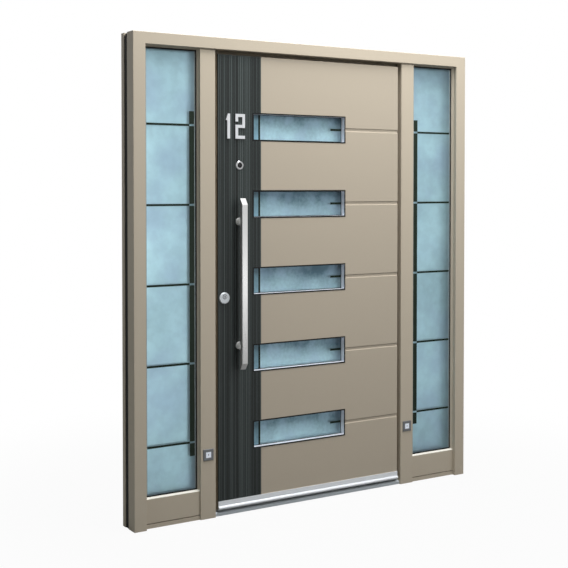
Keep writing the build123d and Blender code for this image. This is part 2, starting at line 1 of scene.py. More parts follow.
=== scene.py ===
"""Dress a front door set: paint, striped strip, satin glass motifs, metalwork, light and camera.

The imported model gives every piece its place, in metres, with X to the right as seen from
outside, Y from the outside to the inside and Z up. This script adds the finishes and the small
pieces that ride on the frame and on the leaf.
"""
from __future__ import annotations

import json
import logging
import math
import random
from dataclasses import dataclass, field, replace
from enum import Enum
from typing import Iterable, Sequence

import bmesh
import bpy
from mathutils import Matrix, Vector

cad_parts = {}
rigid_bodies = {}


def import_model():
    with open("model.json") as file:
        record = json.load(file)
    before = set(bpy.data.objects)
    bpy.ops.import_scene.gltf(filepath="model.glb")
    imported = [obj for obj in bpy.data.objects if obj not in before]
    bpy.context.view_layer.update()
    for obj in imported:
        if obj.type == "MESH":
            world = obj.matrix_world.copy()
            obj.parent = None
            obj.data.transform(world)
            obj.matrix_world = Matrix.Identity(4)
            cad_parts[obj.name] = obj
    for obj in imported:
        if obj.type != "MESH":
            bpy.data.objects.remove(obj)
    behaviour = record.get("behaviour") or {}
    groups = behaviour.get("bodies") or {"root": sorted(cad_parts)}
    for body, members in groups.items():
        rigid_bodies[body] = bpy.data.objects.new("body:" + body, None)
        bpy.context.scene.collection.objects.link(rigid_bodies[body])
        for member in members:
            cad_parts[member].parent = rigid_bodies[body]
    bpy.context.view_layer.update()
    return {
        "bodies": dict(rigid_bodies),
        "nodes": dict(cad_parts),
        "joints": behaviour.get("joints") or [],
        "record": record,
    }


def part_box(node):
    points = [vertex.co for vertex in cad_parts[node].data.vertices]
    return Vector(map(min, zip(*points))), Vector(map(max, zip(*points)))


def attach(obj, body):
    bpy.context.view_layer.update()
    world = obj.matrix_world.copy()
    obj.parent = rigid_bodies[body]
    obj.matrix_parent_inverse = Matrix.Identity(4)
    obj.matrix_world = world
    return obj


LOG = logging.getLogger("front_door")

MM = 0.001

# Faces that meet at less than the first angle are shaded as one. Edges past the second are rounded.
SMOOTH_ANGLE = math.radians(35)
ROUNDED_ANGLE = 0.5
ROUNDING_STEPS = 2
ROUND_PROFILE = 0.5

# The curve from a screen's values to linear ones, which is straight up to its toe.
SCREEN_TOE = 0.04045
SCREEN_TOE_SLOPE = 12.92
SCREEN_LIFT = 0.055
SCREEN_POWER = 2.4

# The mix node's colour sockets go by number, because its other sockets share their names.
MIX_FIRST = 6
MIX_SECOND = 7
MIX_RESULT = 2

Point = tuple[float, float, float]
Colour = tuple[float, float, float]
Pair = tuple[float, float]
Box = tuple[Vector, Vector]


class Body(str, Enum):
    """The rigid bodies that pieces ride on."""

    FRAME = "frame"
    LEAF = "leaf"


class Grain(Enum):
    """The way in which a metal is brushed or drawn, as the stretch of its fine noise."""

    UPRIGHT = (2600.0, 2600.0, 14.0)
    LENGTHWISE = (14.0, 2600.0, 2600.0)
    TURNED = (1500.0, 1500.0, 1500.0)


class Side(Enum):
    """The two sidelights, as the sign of their place along X."""

    LEFT = -1
    RIGHT = 1

    @property
    def prefix(self) -> str:
        """Return the side as the names of its pieces start."""
        return self.name.lower()


class Run(Enum):
    """The way in which a swept strand runs from its point."""

    UP = (0.0, 0.0, 1.0)
    ALONG = (1.0, 0.0, 0.0)


def linear(red: int, green: int, blue: int) -> Colour:
    """Turn a colour as it looks on a screen into the values that shaders use.

    Args:
        red: Red from 0 to 255.
        green: Green from 0 to 255.
        blue: Blue from 0 to 255.

    Returns:
        The linear red, green and blue, from 0 to 1.
    """
    values = []
    for share in (red / 255, green / 255, blue / 255):
        if share <= SCREEN_TOE:
            values.append(share / SCREEN_TOE_SLOPE)
        else:
            values.append(((share + SCREEN_LIFT) / (1 + SCREEN_LIFT)) ** SCREEN_POWER)
    return tuple(values)


def shade(colour: Colour, factor: float) -> Colour:
    """Return a lighter or darker copy of a colour."""
    return tuple(min(1.0, channel * factor) for channel in colour)


class Graph:
    """A node tree under construction."""

    def __init__(self, tree: bpy.types.NodeTree) -> None:
        """Take up a tree to add nodes to."""
        self.tree = tree

    def feed(self, socket: bpy.types.NodeSocket, source: object) -> None:
        """Set a socket to a value, or link another node's output to it.

        Args:
            socket: The socket to set.
            source: A value, where a colour is taken as opaque, or the output to link.
        """
        if isinstance(source, bpy.types.NodeSocket):
            self.tree.links.new(source, socket)
        elif socket.type == "RGBA":
            socket.default_value = (*source, 1.0)
        else:
            socket.default_value = source

    def add(
        self, kind: str, sources: dict[str | int, object] | None = None, **settings: object
    ) -> bpy.types.Node:
        """Add a node, set its own properties, and feed its inputs.

        Args:
            kind: The node's type.
            sources: For each input's name or number, a value or the output to link to it.
            **settings: The node's own properties.

        Returns:
            The new node.
        """
        node = self.tree.nodes.new(kind)
        for key, value in settings.items():
            setattr(node, key, value)
        for key, source in (sources or {}).items():
            self.feed(node.inputs[key], source)
        return node

    def math(self, operation: str, *sources: object) -> bpy.types.NodeSocket:
        """Return the result of one arithmetic step on numbers or outputs."""
        return self.add("ShaderNodeMath", dict(enumerate(sources)), operation=operation).outputs[0]


class ShaderGraph(Graph):
    """A material's node tree under construction, read in object coordinates."""

    def __init__(self, name: str) -> None:
        """Start a material with a single principled shader.

        Args:
            name: The material's name.
        """
        self.material = bpy.data.materials.new(name)
        self.material.use_nodes = True
        super().__init__(self.material.node_tree)
        self.shader = self.tree.nodes["Principled BSDF"]
        self.place = self.add("ShaderNodeTexCoord").outputs["Object"]

    def surface(self, **values: object) -> None:
        """Set sockets of the principled shader.

        Args:
            **values: A value or an output for each socket, by its name with underscores for spaces.
        """
        for key, value in values.items():
            name = key.replace("_", " ").title().replace("Ior", "IOR")
            self.feed(self.shader.inputs[name], value)

    def axes(self) -> Sequence[bpy.types.NodeSocket]:
        """Return the X, Y and Z of the point that is shaded."""
        return self.add("ShaderNodeSeparateXYZ", {0: self.place}).outputs

    def stretch(self, scale: Point) -> bpy.types.NodeSocket:
        """Return the point's place, scaled by its own factor along each axis."""
        return self.add("ShaderNodeMapping", {"Vector": self.place, "Scale": scale}).outputs[0]

    def noise(
        self, scale: float, detail: float, place: bpy.types.NodeSocket | None = None
    ) -> bpy.types.NodeSocket:
        """Return smooth noise from 0 to 1.

        Args:
            scale: How many features there are in a metre.
            detail: How many finer layers are added.
            place: Where the noise is read, if not at the point itself.

        Returns:
            The noise as an output.
        """
        sources = {"Vector": place or self.place, "Scale": scale, "Detail": detail}
        return self.add("ShaderNodeTexNoise", sources).outputs["Fac"]

    def ramp(
        self, source: bpy.types.NodeSocket, stops: Sequence[tuple[float, Colour]]
    ) -> bpy.types.NodeSocket:
        """Return a colour that follows a number.

        Args:
            source: The number.
            stops: The colours, each with the number that it belongs to.

        Returns:
            The colour as an output.
        """
        node = self.add("ShaderNodeValToRGB", {"Fac": source})
        for element, (at, colour) in zip(node.color_ramp.elements, stops):
            element.position = at
            element.color = (*colour, 1.0)
        return node.outputs["Color"]

    def around(
        self, source: bpy.types.NodeSocket, colour: Colour, spread: float, stops: Pair
    ) -> bpy.types.NodeSocket:
        """Return a colour that strays to the dark and to the light as a number grows.

        Args:
            source: The number.
            colour: The colour in the middle.
            spread: How far it strays, as a share of itself.
            stops: The numbers at which it is darkest and lightest.

        Returns:
            The colour as an output.
        """
        tones = (shade(colour, 1 - spread), shade(colour, 1 + spread))
        return self.ramp(source, list(zip(stops, tones)))

    def vary(
        self, source: bpy.types.NodeSocket, middle: float, spread: float
    ) -> bpy.types.NodeSocket:
        """Return a number that strays to both sides of a middle value as noise does."""
        return self.math("MULTIPLY_ADD", source, spread, middle - spread / 2)

    def mix(self, share: object, first: object, second: object) -> bpy.types.NodeSocket:
        """Return a blend of two colours, at 0 the first and at 1 the second."""
        sources = {"Factor": share, MIX_FIRST: first, MIX_SECOND: second}
        return self.add("ShaderNodeMix", sources, data_type="RGBA").outputs[MIX_RESULT]

    def span(
        self, source: bpy.types.NodeSocket, low: float, high: float, onto: Pair = (0.0, 1.0)
    ) -> bpy.types.NodeSocket:
        """Return a smooth step.

        Args:
            source: The number that it follows.
            low: Where the step starts.
            high: Where it ends.
            onto: Its value before the start and after the end.

        Returns:
            The step as an output.
        """
        sources = {"Value": source, "From Min": low, "From Max": high, "To Min": onto[0], "To Max": onto[1]}
        node = self.add("ShaderNodeMapRange", sources, interpolation_type="SMOOTHSTEP")
        return node.outputs["Result"]

    def bump(self, height: bpy.types.NodeSocket, strength: float, depth: float) -> None:
        """Bend the shading normal by a height.

        Args:
            height: The height, from 0 to 1.
            strength: How much of the bend shows.
            depth: The height's full range in metres.
        """
        sources = {"Height": height, "Strength": strength, "Distance": depth}
        node = self.add("ShaderNodeBump", sources)
        self.feed(self.shader.inputs["Normal"], node.outputs["Normal"])


@dataclass(frozen=True)
class PaleLine:
    """A painted highlight: paler paint on the low part of a piece, behind its front lip, where an upward
    slope faces the light.
    """

    foot: float
    height: float
    front: float
    # The colour of the painted highlight.
    colour: Colour = linear(222, 219, 209)

    def share(self, graph: ShaderGraph) -> bpy.types.NodeSocket:
        """Return where the painted highlight is.

        Args:
            graph: The material that it belongs to.

        Returns:
            An output that is 1 on the painted highlight and 0 off it.
        """
        _, y, z = graph.axes()
        low = graph.math("LESS_THAN", z, self.foot + self.height)
        behind = graph.math("GREATER_THAN", y, self.front)
        return graph.math("MULTIPLY", low, behind)


@dataclass(frozen=True)
class MetallicPaint:
    """Satin powder coat with fine metal flakes, and with a painted highlight line where one is given."""

    name: str
    colour: Colour
    # A painted highlight line on the low slopes, where one is given.
    line: PaleLine | None = None
    flake_scale: float = 2200.0
    flake_spread: float = 0.05
    flake_stops: Pair = (0.3, 0.7)
    cloud_scale: float = 1.6
    cloud_spread: float = 0.03
    cloud_shade: float = 0.5
    metallic: float = 0.06
    roughness: float = 0.5
    rough_spread: float = 0.12
    specular: float = 0.35
    relief: float = 0.06
    relief_depth: float = 0.3 * MM

    def build(self) -> bpy.types.Material:
        """Make the paint.

        Returns:
            The paint as a material.
        """
        graph = ShaderGraph(self.name)
        flakes = graph.noise(self.flake_scale, detail=1.0)
        clouds = graph.noise(self.cloud_scale, detail=3.0)
        base = graph.around(flakes, self.colour, self.flake_spread, self.flake_stops)
        share = graph.math("MULTIPLY", clouds, self.cloud_spread)
        base = graph.mix(share, base, shade(self.colour, self.cloud_shade))
        # The line is a painted highlight on the piece's upward-facing slopes.
        if self.line:
            base = graph.mix(self.line.share(graph), base, self.line.colour)
        graph.surface(
            base_color=base,
            metallic=self.metallic,
            roughness=graph.vary(flakes, self.roughness, self.rough_spread),
            specular_ior_level=self.specular,
        )
        ripple = graph.noise(self.flake_scale / 2, detail=2.0)
        graph.bump(ripple, self.relief, self.relief_depth)
        return graph.material


@dataclass(frozen=True)
class StripedLaminate:
    """Charcoal facing whose battens differ in tone, with fine upright grain.

    The colour goes from dark to light by a level, the sum of the batten's own tone, the grain and
    the flecks, each by its share.
    """

    name: str
    dark: Colour
    light: Colour
    tone_name: str = "tone"
    tone_share: float = 0.85
    grain: Point = (520.0, 520.0, 2.2)
    grain_share: float = 0.5
    fleck: Point = (1800.0, 1800.0, 24.0)
    fleck_share: float = 0.2
    level_drop: float = 0.22
    level_stops: Pair = (0.05, 0.95)
    roughness: float = 0.46
    rough_spread: float = 0.16
    specular: float = 0.4
    relief: float = 0.25
    relief_depth: float = 0.4 * MM

    def build(self) -> bpy.types.Material:
        """Make the facing.

        Returns:
            The facing as a material.
        """
        graph = ShaderGraph(self.name)
        tone = graph.add("ShaderNodeAttribute", attribute_name=self.tone_name).outputs["Fac"]
        grain = graph.noise(1.0, detail=3.0, place=graph.stretch(self.grain))
        fleck = graph.noise(1.0, detail=2.0, place=graph.stretch(self.fleck))
        level = graph.math("MULTIPLY", tone, self.tone_share)
        level = graph.math("MULTIPLY_ADD", grain, self.grain_share, level)
        level = graph.math("SUBTRACT", level, self.level_drop)
        level = graph.math("MULTIPLY_ADD", fleck, self.fleck_share, level)
        graph.surface(
            base_color=graph.ramp(level, list(zip(self.level_stops, (self.dark, self.light)))),
            roughness=graph.vary(fleck, self.roughness, self.rough_spread),
            specular_ior_level=self.specular,
        )
        graph.bump(graph.math("ADD", grain, fleck), self.relief, self.relief_depth)
        return graph.material


@dataclass(frozen=True)
class BrushedMetal:
    """Steel or aluminium with the fine lines that brushing or drawing leaves."""

    name: str
    colour: Colour
    grain: Grain = Grain.UPRIGHT
    roughness: float = 0.3
    metallic: float = 0.9
    streak: float = 0.12
    streak_stops: Pair = (0.25, 0.75)
    line_rough: float = 0.14
    smear_scale: float = 7.0
    smear_rough: float = 0.06
    relief: float = 0.1
    relief_depth: float = 0.2 * MM

    def build(self) -> bpy.types.Material:
        """Make the metal.

        Returns:
            The metal as a material.
        """
        graph = ShaderGraph(self.name)
        lines = graph.noise(1.0, detail=3.0, place=graph.stretch(self.grain.value))
        smear = graph.noise(self.smear_scale, detail=2.0)
        rough = graph.vary(lines, self.roughness - self.smear_rough / 2, self.line_rough)
        graph.surface(
            base_color=graph.around(lines, self.colour, self.streak, self.streak_stops),
            metallic=self.metallic,
            roughness=graph.math("MULTIPLY_ADD", smear, self.smear_rough, rough),
        )
        graph.bump(lines, self.relief, self.relief_depth)
        return graph.material


@dataclass(frozen=True)
class SatinGlass:
    """Etched glass with soft clouds, and painted shade that deepens its colour towards its head and its
    edges.

    The colour follows a level from 0, pale, to 1, deep. A pane that repeats up the leaf has its
    foot, the pitch of the repeats and its height. The head shade and the rim are painted shade:
    the rim is where the level grows towards an upright edge, and the left one's painted shade and
    width are shares of the right one's. The depth, a painted reflection that darkens a whole pane,
    is added to the level over the whole pane.
    """

    name: str
    pale: Colour
    deep: Colour
    foot: float
    pitch: float
    height: float
    left: float
    right: float
    # Painted shade towards the head, and towards the upright edges.
    head_fade: float = 0.35
    head_start: float = 0.92
    rim_fade: float = 0.0
    rim_width: float = 0.06
    left_rim_fade: float = 0.6
    left_rim_width: float = 1 / 3
    cloud_scale: float = 2.7
    cloud_span: Pair = (0.36, 0.66)
    cloud_fade: float = 0.42
    wisp_fineness: float = 9.0
    wisp_span: Pair = (0.34, 0.66)
    wisp_share: float = 0.35
    haze: Colour = linear(142, 164, 190)
    haze_fineness: float = 1.7
    haze_span: Pair = (0.42, 0.68)
    haze_share: float = 0.45
    speckle_scale: float = 900.0
    roughness: float = 0.45
    rough_spread: float = 0.1
    clear: float = 0.68
    # Painted reflection that darkens the whole pane.
    depth: float = 0.0
    refraction: float = 1.45
    relief: float = 0.05
    relief_depth: float = 0.1 * MM

    def level(self, graph: ShaderGraph) -> bpy.types.NodeSocket:
        """Work out how deep the colour is, with its painted shade and its painted reflection.

        Args:
            graph: The material that is made.

        Returns:
            The level as an output.
        """
        x, _, z = graph.axes()
        steps = graph.math("DIVIDE", graph.math("SUBTRACT", z, self.foot), self.pitch)
        rise = graph.math("MULTIPLY", graph.math("FRACT", steps), self.pitch / self.height)
        # Painted shade darkens each pane towards its head.
        level = graph.math("MULTIPLY", graph.span(rise, self.head_start, 1.0), self.head_fade)
        # Painted shade darkens each pane towards its upright edges, most on the right.
        right_rim = graph.span(x, self.right - self.rim_width, self.right)
        left_rim = graph.span(x, self.left + self.rim_width * self.left_rim_width, self.left)
        rim = graph.math("MAXIMUM", right_rim, graph.math("MULTIPLY", left_rim, self.left_rim_fade))
        level = graph.math("MULTIPLY_ADD", rim, self.rim_fade, level)
        clouds = graph.span(graph.noise(self.cloud_scale, detail=5.0), *self.cloud_span)
        wisps = graph.noise(self.cloud_scale * self.wisp_fineness, detail=6.0)
        wisps = graph.span(wisps, *self.wisp_span)
        fog = graph.math("MULTIPLY", clouds, 1 - self.wisp_share)
        fog = graph.math("MULTIPLY_ADD", wisps, self.wisp_share, fog)
        # The clouds and the depth come last; the depth is a painted reflection that darkens the whole pane.
        return graph.math("MULTIPLY_ADD", fog, self.cloud_fade, graph.math("ADD", level, self.depth))

    def build(self) -> bpy.types.Material:
        """Make the glass.

        Returns:
            The glass as a material.
        """
        graph = ShaderGraph(self.name)
        base = graph.ramp(self.level(graph), [(0.0, self.pale), (1.0, self.deep)])
        haze = graph.noise(self.cloud_scale * self.haze_fineness, detail=4.0)
        haze = graph.span(haze, *self.haze_span)
        speckle = graph.noise(self.speckle_scale, detail=2.0)
        graph.surface(
            base_color=graph.mix(graph.math("MULTIPLY", haze, self.haze_share), base, self.haze),
            roughness=graph.vary(speckle, self.roughness, self.rough_spread),
            transmission_weight=self.clear,
            ior=self.refraction,
        )
        graph.bump(speckle, self.relief, self.relief_depth)
        return graph.material


@dataclass(frozen=True)
class Moulding:
    """Rubber, plastic, board or film: one colour with a fine surface."""

    name: str
    colour: Colour
    roughness: float = 0.6
    rough_spread: float = 0.1
    pores: float = 1400.0
    pore_spread: float = 0.12
    pore_stops: Pair = (0.3, 0.7)
    relief: float = 0.12
    relief_depth: float = 0.2 * MM
    coat: float = 0.0
    coat_roughness: float = 0.05
    glow: float = 0.0
    specular: float = 0.5

    def build(self) -> bpy.types.Material:
        """Make the moulding.

        Returns:
            The moulding as a material.
        """
        graph = ShaderGraph(self.name)
        pores = graph.noise(self.pores, detail=2.0)
        graph.surface(
            base_color=graph.around(pores, self.colour, self.pore_spread, self.pore_stops),
            roughness=graph.vary(pores, self.roughness, self.rough_spread),
            specular_ior_level=self.specular,
            coat_weight=self.coat,
            coat_roughness=self.coat_roughness,
        )
        if self.glow:
            graph.surface(emission_color=self.colour, emission_strength=self.glow)
        graph.bump(pores, self.relief, self.relief_depth)
        return graph.material


class GeometryTree(Graph):
    """A Geometry Nodes tree under construction, with a named input for each size."""

    def __init__(self, name: str) -> None:
        """Start an empty tree that takes points and gives a mesh.

        Args:
            name: The tree's name.
        """
        super().__init__(bpy.data.node_groups.new(name, "GeometryNodeTree"))
        self.inputs: dict[str, str] = {}
        self.socket("Points", "NodeSocketGeometry")
        self.tree.interface.new_socket("Mesh", in_out="OUTPUT", socket_type="NodeSocketGeometry")
        self.entry = self.add("NodeGroupInput")
        self.exit = self.add("NodeGroupOutput")

    def socket(self, name: str, kind: str) -> None:
        """Add an input of that name and remember its identifier."""
        made = self.tree.interface.new_socket(name, in_out="INPUT", socket_type=kind)
        self.inputs[name] = made.identifier

    def sizes(self, *names: str) -> list[bpy.types.NodeSocket]:
        """Add a number input for each name.

        Args:
            *names: The inputs' names.

        Returns:
            The inputs as they are read inside the tree.
        """
        for name in names:
            self.socket(name, "NodeSocketFloat")
        return [self.entry.outputs[name] for name in names]

    def attribute(self, name: str, kind: str) -> bpy.types.NodeSocket:
        """Return what the points hold under a name, as FLOAT or FLOAT_VECTOR."""
        node = self.add("GeometryNodeInputNamedAttribute", {"Name": name}, data_type=kind)
        return node.outputs["Attribute"]

    def close(self, material: bpy.types.Material, **sources: object) -> None:
        """End the tree: put a piece on each point, make all of them real, and give them a finish.

        Args:
            material: The finish.
            **sources: The piece, as Instance, and its Rotation or Scale.
        """
        sources["Points"] = self.entry.outputs["Points"]
        placed = self.add("GeometryNodeInstanceOnPoints", sources)
        real = self.add("GeometryNodeRealizeInstances", {"Geometry": placed.outputs[0]})
        finish = {"Geometry": real.outputs[0], "Material": material}
        painted = self.add("GeometryNodeSetMaterial", finish)
        self.feed(self.exit.inputs[0], painted.outputs[0])

    def grow(self, name: str, points: bpy.types.Mesh, values: dict[str, float]) -> bpy.types.Object:
        """Run the tree on some points.

        Args:
            name: The new object's name.
            points: A mesh of bare points, with the attributes that the tree reads.
            values: The tree's number inputs, by name.

        Returns:
            A plain mesh object at the origin with no modifier left on it.
        """
        made = bpy.data.objects.new(name, points)
        bpy.context.scene.collection.objects.link(made)
        modifier = made.modifiers.new("grow", "NODES")
        modifier.node_group = self.tree
        for key, value in values.items():
            modifier[self.inputs[key]] = value
        graph = bpy.context.evaluated_depsgraph_get()
        mesh = bpy.data.meshes.new_from_object(made.evaluated_get(graph), depsgraph=graph)
        made.modifiers.remove(modifier)
        made.data = mesh
        mesh.name = name
        return made


def swept_tree(name: str, material: bpy.types.Material, run: Run) -> GeometryTree:
    """Return the tree that sweeps a shouldered section from each point, by the length held there.

    Args:
        name: The tree's name.
        material: The finish of the strands.
        run: The way in which the strands run.

    Returns:
        The tree, whose sizes are the section's width, its depth and the slope of its shoulders.
    """
    tree = GeometryTree(name)
    width, depth, shoulder = tree.sizes("Width", "Depth", "Shoulder")
    crest = tree.math("SUBTRACT", width, tree.math("ADD", shoulder, shoulder))
    sizes = {"Height": depth, "Bottom Width": width, "Top Width": crest, "Offset": 0.0}
    section = tree.add("GeometryNodeCurvePrimitiveQuadrilateral", sizes, mode="TRAPEZOID")
    line = tree.add("GeometryNodeCurvePrimitiveLine", {"Start": (0, 0, 0), "End": run.value})
    sweep = {"Curve": line.outputs[0], "Profile Curve": section.outputs[0], "Fill Caps": True}
    strand = tree.add("GeometryNodeCurveToMesh", sweep)
    reach = tree.attribute("reach", "FLOAT")
    axes = {axis: reach if step else 1.0 for axis, step in zip("XYZ", run.value)}
    scale = tree.add("ShaderNodeCombineXYZ", axes)
    tree.close(material, Instance=strand.outputs[0], Scale=scale.outputs[0])
    return tree


def point_cloud(name: str, places: Sequence[Point], **held: Sequence[object]) -> bpy.types.Mesh:
    """Return a mesh of bare points that hold numbers or vectors by name.

    Args:
        name: The mesh's name.
        places: Where the points are.
        **held: For each attribute, one number or one vector a point.

    Returns:
        The mesh.
    """
    mesh = bpy.data.meshes.new(name)
    mesh.from_pydata(places, [], [])
    for key, values in held.items():
        if isinstance(values[0], (int, float)):
            mesh.attributes.new(key, "FLOAT", "POINT").data.foreach_set("value", values)
        else:
            flat = [number for vector in values for number in vector]
            mesh.attributes.new(key, "FLOAT_VECTOR", "POINT").data.foreach_set("vector", flat)
    return mesh


class Sculpt:
    """A mesh under construction, from boxes, rings, outlines and turned pieces."""

    def __init__(self) -> None:
        """Start with nothing."""
        self.mesh = bmesh.new()

    def box(self, low: Point, high: Point, soften: float = 0.0) -> Sculpt:
        """Add a box.

        Args:
            low: Its lowest corner.
            high: Its highest corner.
            soften: The radius of its edges.

        Returns:
            This sculpt.
        """
        low_corner, high_corner = Vector(low), Vector(high)
        size = Matrix.Diagonal((*(high_corner - low_corner), 1.0))
        place = Matrix.Translation((low_corner + high_corner) / 2) @ size
        made = bmesh.ops.create_cube(self.mesh, size=1.0, matrix=place)
        self.soften(made["verts"], soften)
        return self

    def soften(self, verts: Iterable[bmesh.types.BMVert], radius: float) -> None:
        """Round the edges between the given corners.

        Args:
            verts: The corners.
            radius: The radius, or 0 to leave the edges sharp.
        """
        if radius <= 0:
            return
        near = {edge for vert in verts for edge in vert.link_edges}
        edges = [edge for edge in near if edge.calc_face_angle(0.0) > ROUNDED_ANGLE]
        bmesh.ops.bevel(
            self.mesh,
            geom=edges,
            offset=radius,
            segments=ROUNDING_STEPS,
            profile=ROUND_PROFILE,
            affect="EDGES",
        )

    def ring(self, low: Point, high: Point, wall: float, soften: float = 0.0) -> Sculpt:
        """Add a rectangular ring that faces along Y.

        Args:
            low: Its lowest corner.
            high: Its highest corner.
            wall: The thickness of its wall all round.
            soften: The radius of its edges.

        Returns:
            This sculpt.
        """
        loops = []
        for inset in (0.0, wall):
            x0, x1, z0, z1 = low[0] + inset, high[0] - inset, low[2] + inset, high[2] - inset
            loops.append([(x0, z0), (x1, z0), (x1, z1), (x0, z1)])
        layers = []
        for y in (low[1], high[1]):
            layers.append([[self.mesh.verts.new((x, y, z)) for x, z in loop] for loop in loops])
        (front_out, front_in), (rear_out, rear_in) = layers
        around = (front_in, front_out, rear_out, rear_in, front_in)
        for one, two in zip(around, around[1:]):
            for i in range(4):
                j = (i + 1) % 4
                self.mesh.faces.new((one[i], one[j], two[j], two[i]))
        self.soften([vert for layer in layers for loop in layer for vert in loop], soften)
        return self

    def outline(self, points: Sequence[Pair], y0: float, y1: float, soften: float = 0.0) -> Sculpt:
        """Add a flat shape with a thickness.

        Args:
            points: Its outline, as x and z.
            y0: Where its front is.
            y1: Where its rear is.
            soften: The radius of its edges.

        Returns:
            This sculpt.
        """
        front = [self.mesh.verts.new((x, y0, z)) for x, z in points]
        rear = [self.mesh.verts.new((x, y1, z)) for x, z in points]
        self.mesh.faces.new(front)
        self.mesh.faces.new(list(reversed(rear)))
        for i, here in enumerate(front):
            j = (i + 1) % len(front)
            self.mesh.faces.new((front[j], here, rear[i], rear[j]))
        self.soften(front + rear, soften)
        return self

    def turned(self, centre: Point, profile: Sequence[Pair], sides: int = 40) -> Sculpt:
        """Add a round piece whose axis runs along Y.

        Args:
            centre: The point on the axis from which the profile is measured.
            profile: Points of radius and y, where a radius of 0 closes an end.
            sides: How many sides stand for the round.

        Returns:
            This sculpt.
        """
        x0, y0, z0 = centre
        angles = [2 * math.pi * i / sides for i in range(sides)]
        rings = []
        for radius, y in profile:
            if radius == 0:
                spots = [(x0, y0 + y, z0)]
            else:
                spots = [(x0 + radius * math.cos(a), y0 + y, z0 + radius * math.sin(a)) for a in angles]
            rings.append([self.mesh.verts.new(spot) for spot in spots])
        for one, two in zip(rings, rings[1:]):
            for i in range(sides):
                j = (i + 1) % sides
                quad = [one[i % len(one)], one[j % len(one)], two[j % len(two)], two[i % len(two)]]
                self.mesh.faces.new(list(dict.fromkeys(quad)))
        return self

    def piece(self, name: str, material: bpy.types.Material, body: Body, slot: str) -> bpy.types.Object:
        """Finish the mesh as one piece that rides on a body.

        Args:
            name: The piece's name.
            material: Its finish.
            body: The body that it moves with.
            slot: The record's material slot that it belongs to; it is not used.

        Returns:
            The new object.
        """
        bmesh.ops.recalc_face_normals(self.mesh, faces=self.mesh.faces)
        data = bpy.data.meshes.new(name)
        self.mesh.to_mesh(data)
        self.mesh.free()
        data.materials.append(material)
        made = bpy.data.objects.new(name, data)
        bpy.context.scene.collection.objects.link(made)
        return settle(made, body)


def settle(piece: bpy.types.Object, body: Body) -> bpy.types.Object:
    """Shade a finished piece smoothly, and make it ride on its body.

    Args:
        piece: The finished object.
        body: The body that it moves with.

    Returns:
        The same object.
    """
    piece.data.shade_smooth()
    piece.data.set_sharp_from_angle(angle=SMOOTH_ANGLE)
    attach(piece, body.value)
    LOG.info("%s rides on the %s with %d faces", piece.name, body.value, len(piece.data.polygons))
    return piece


def corners(node: str) -> Box:
    """Return a solid's lowest and highest corners as vectors."""
    low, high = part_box(node)
    return Vector(low), Vector(high)


def both_faces(glass: Box, thickness: float) -> list[Pair]:
    """Return the front and rear of a layer on the outer face of a pane, and of one on its inner face."""
    low, high = glass
    return [(low.y - thickness, low.y), (high.y, high.y + thickness)]


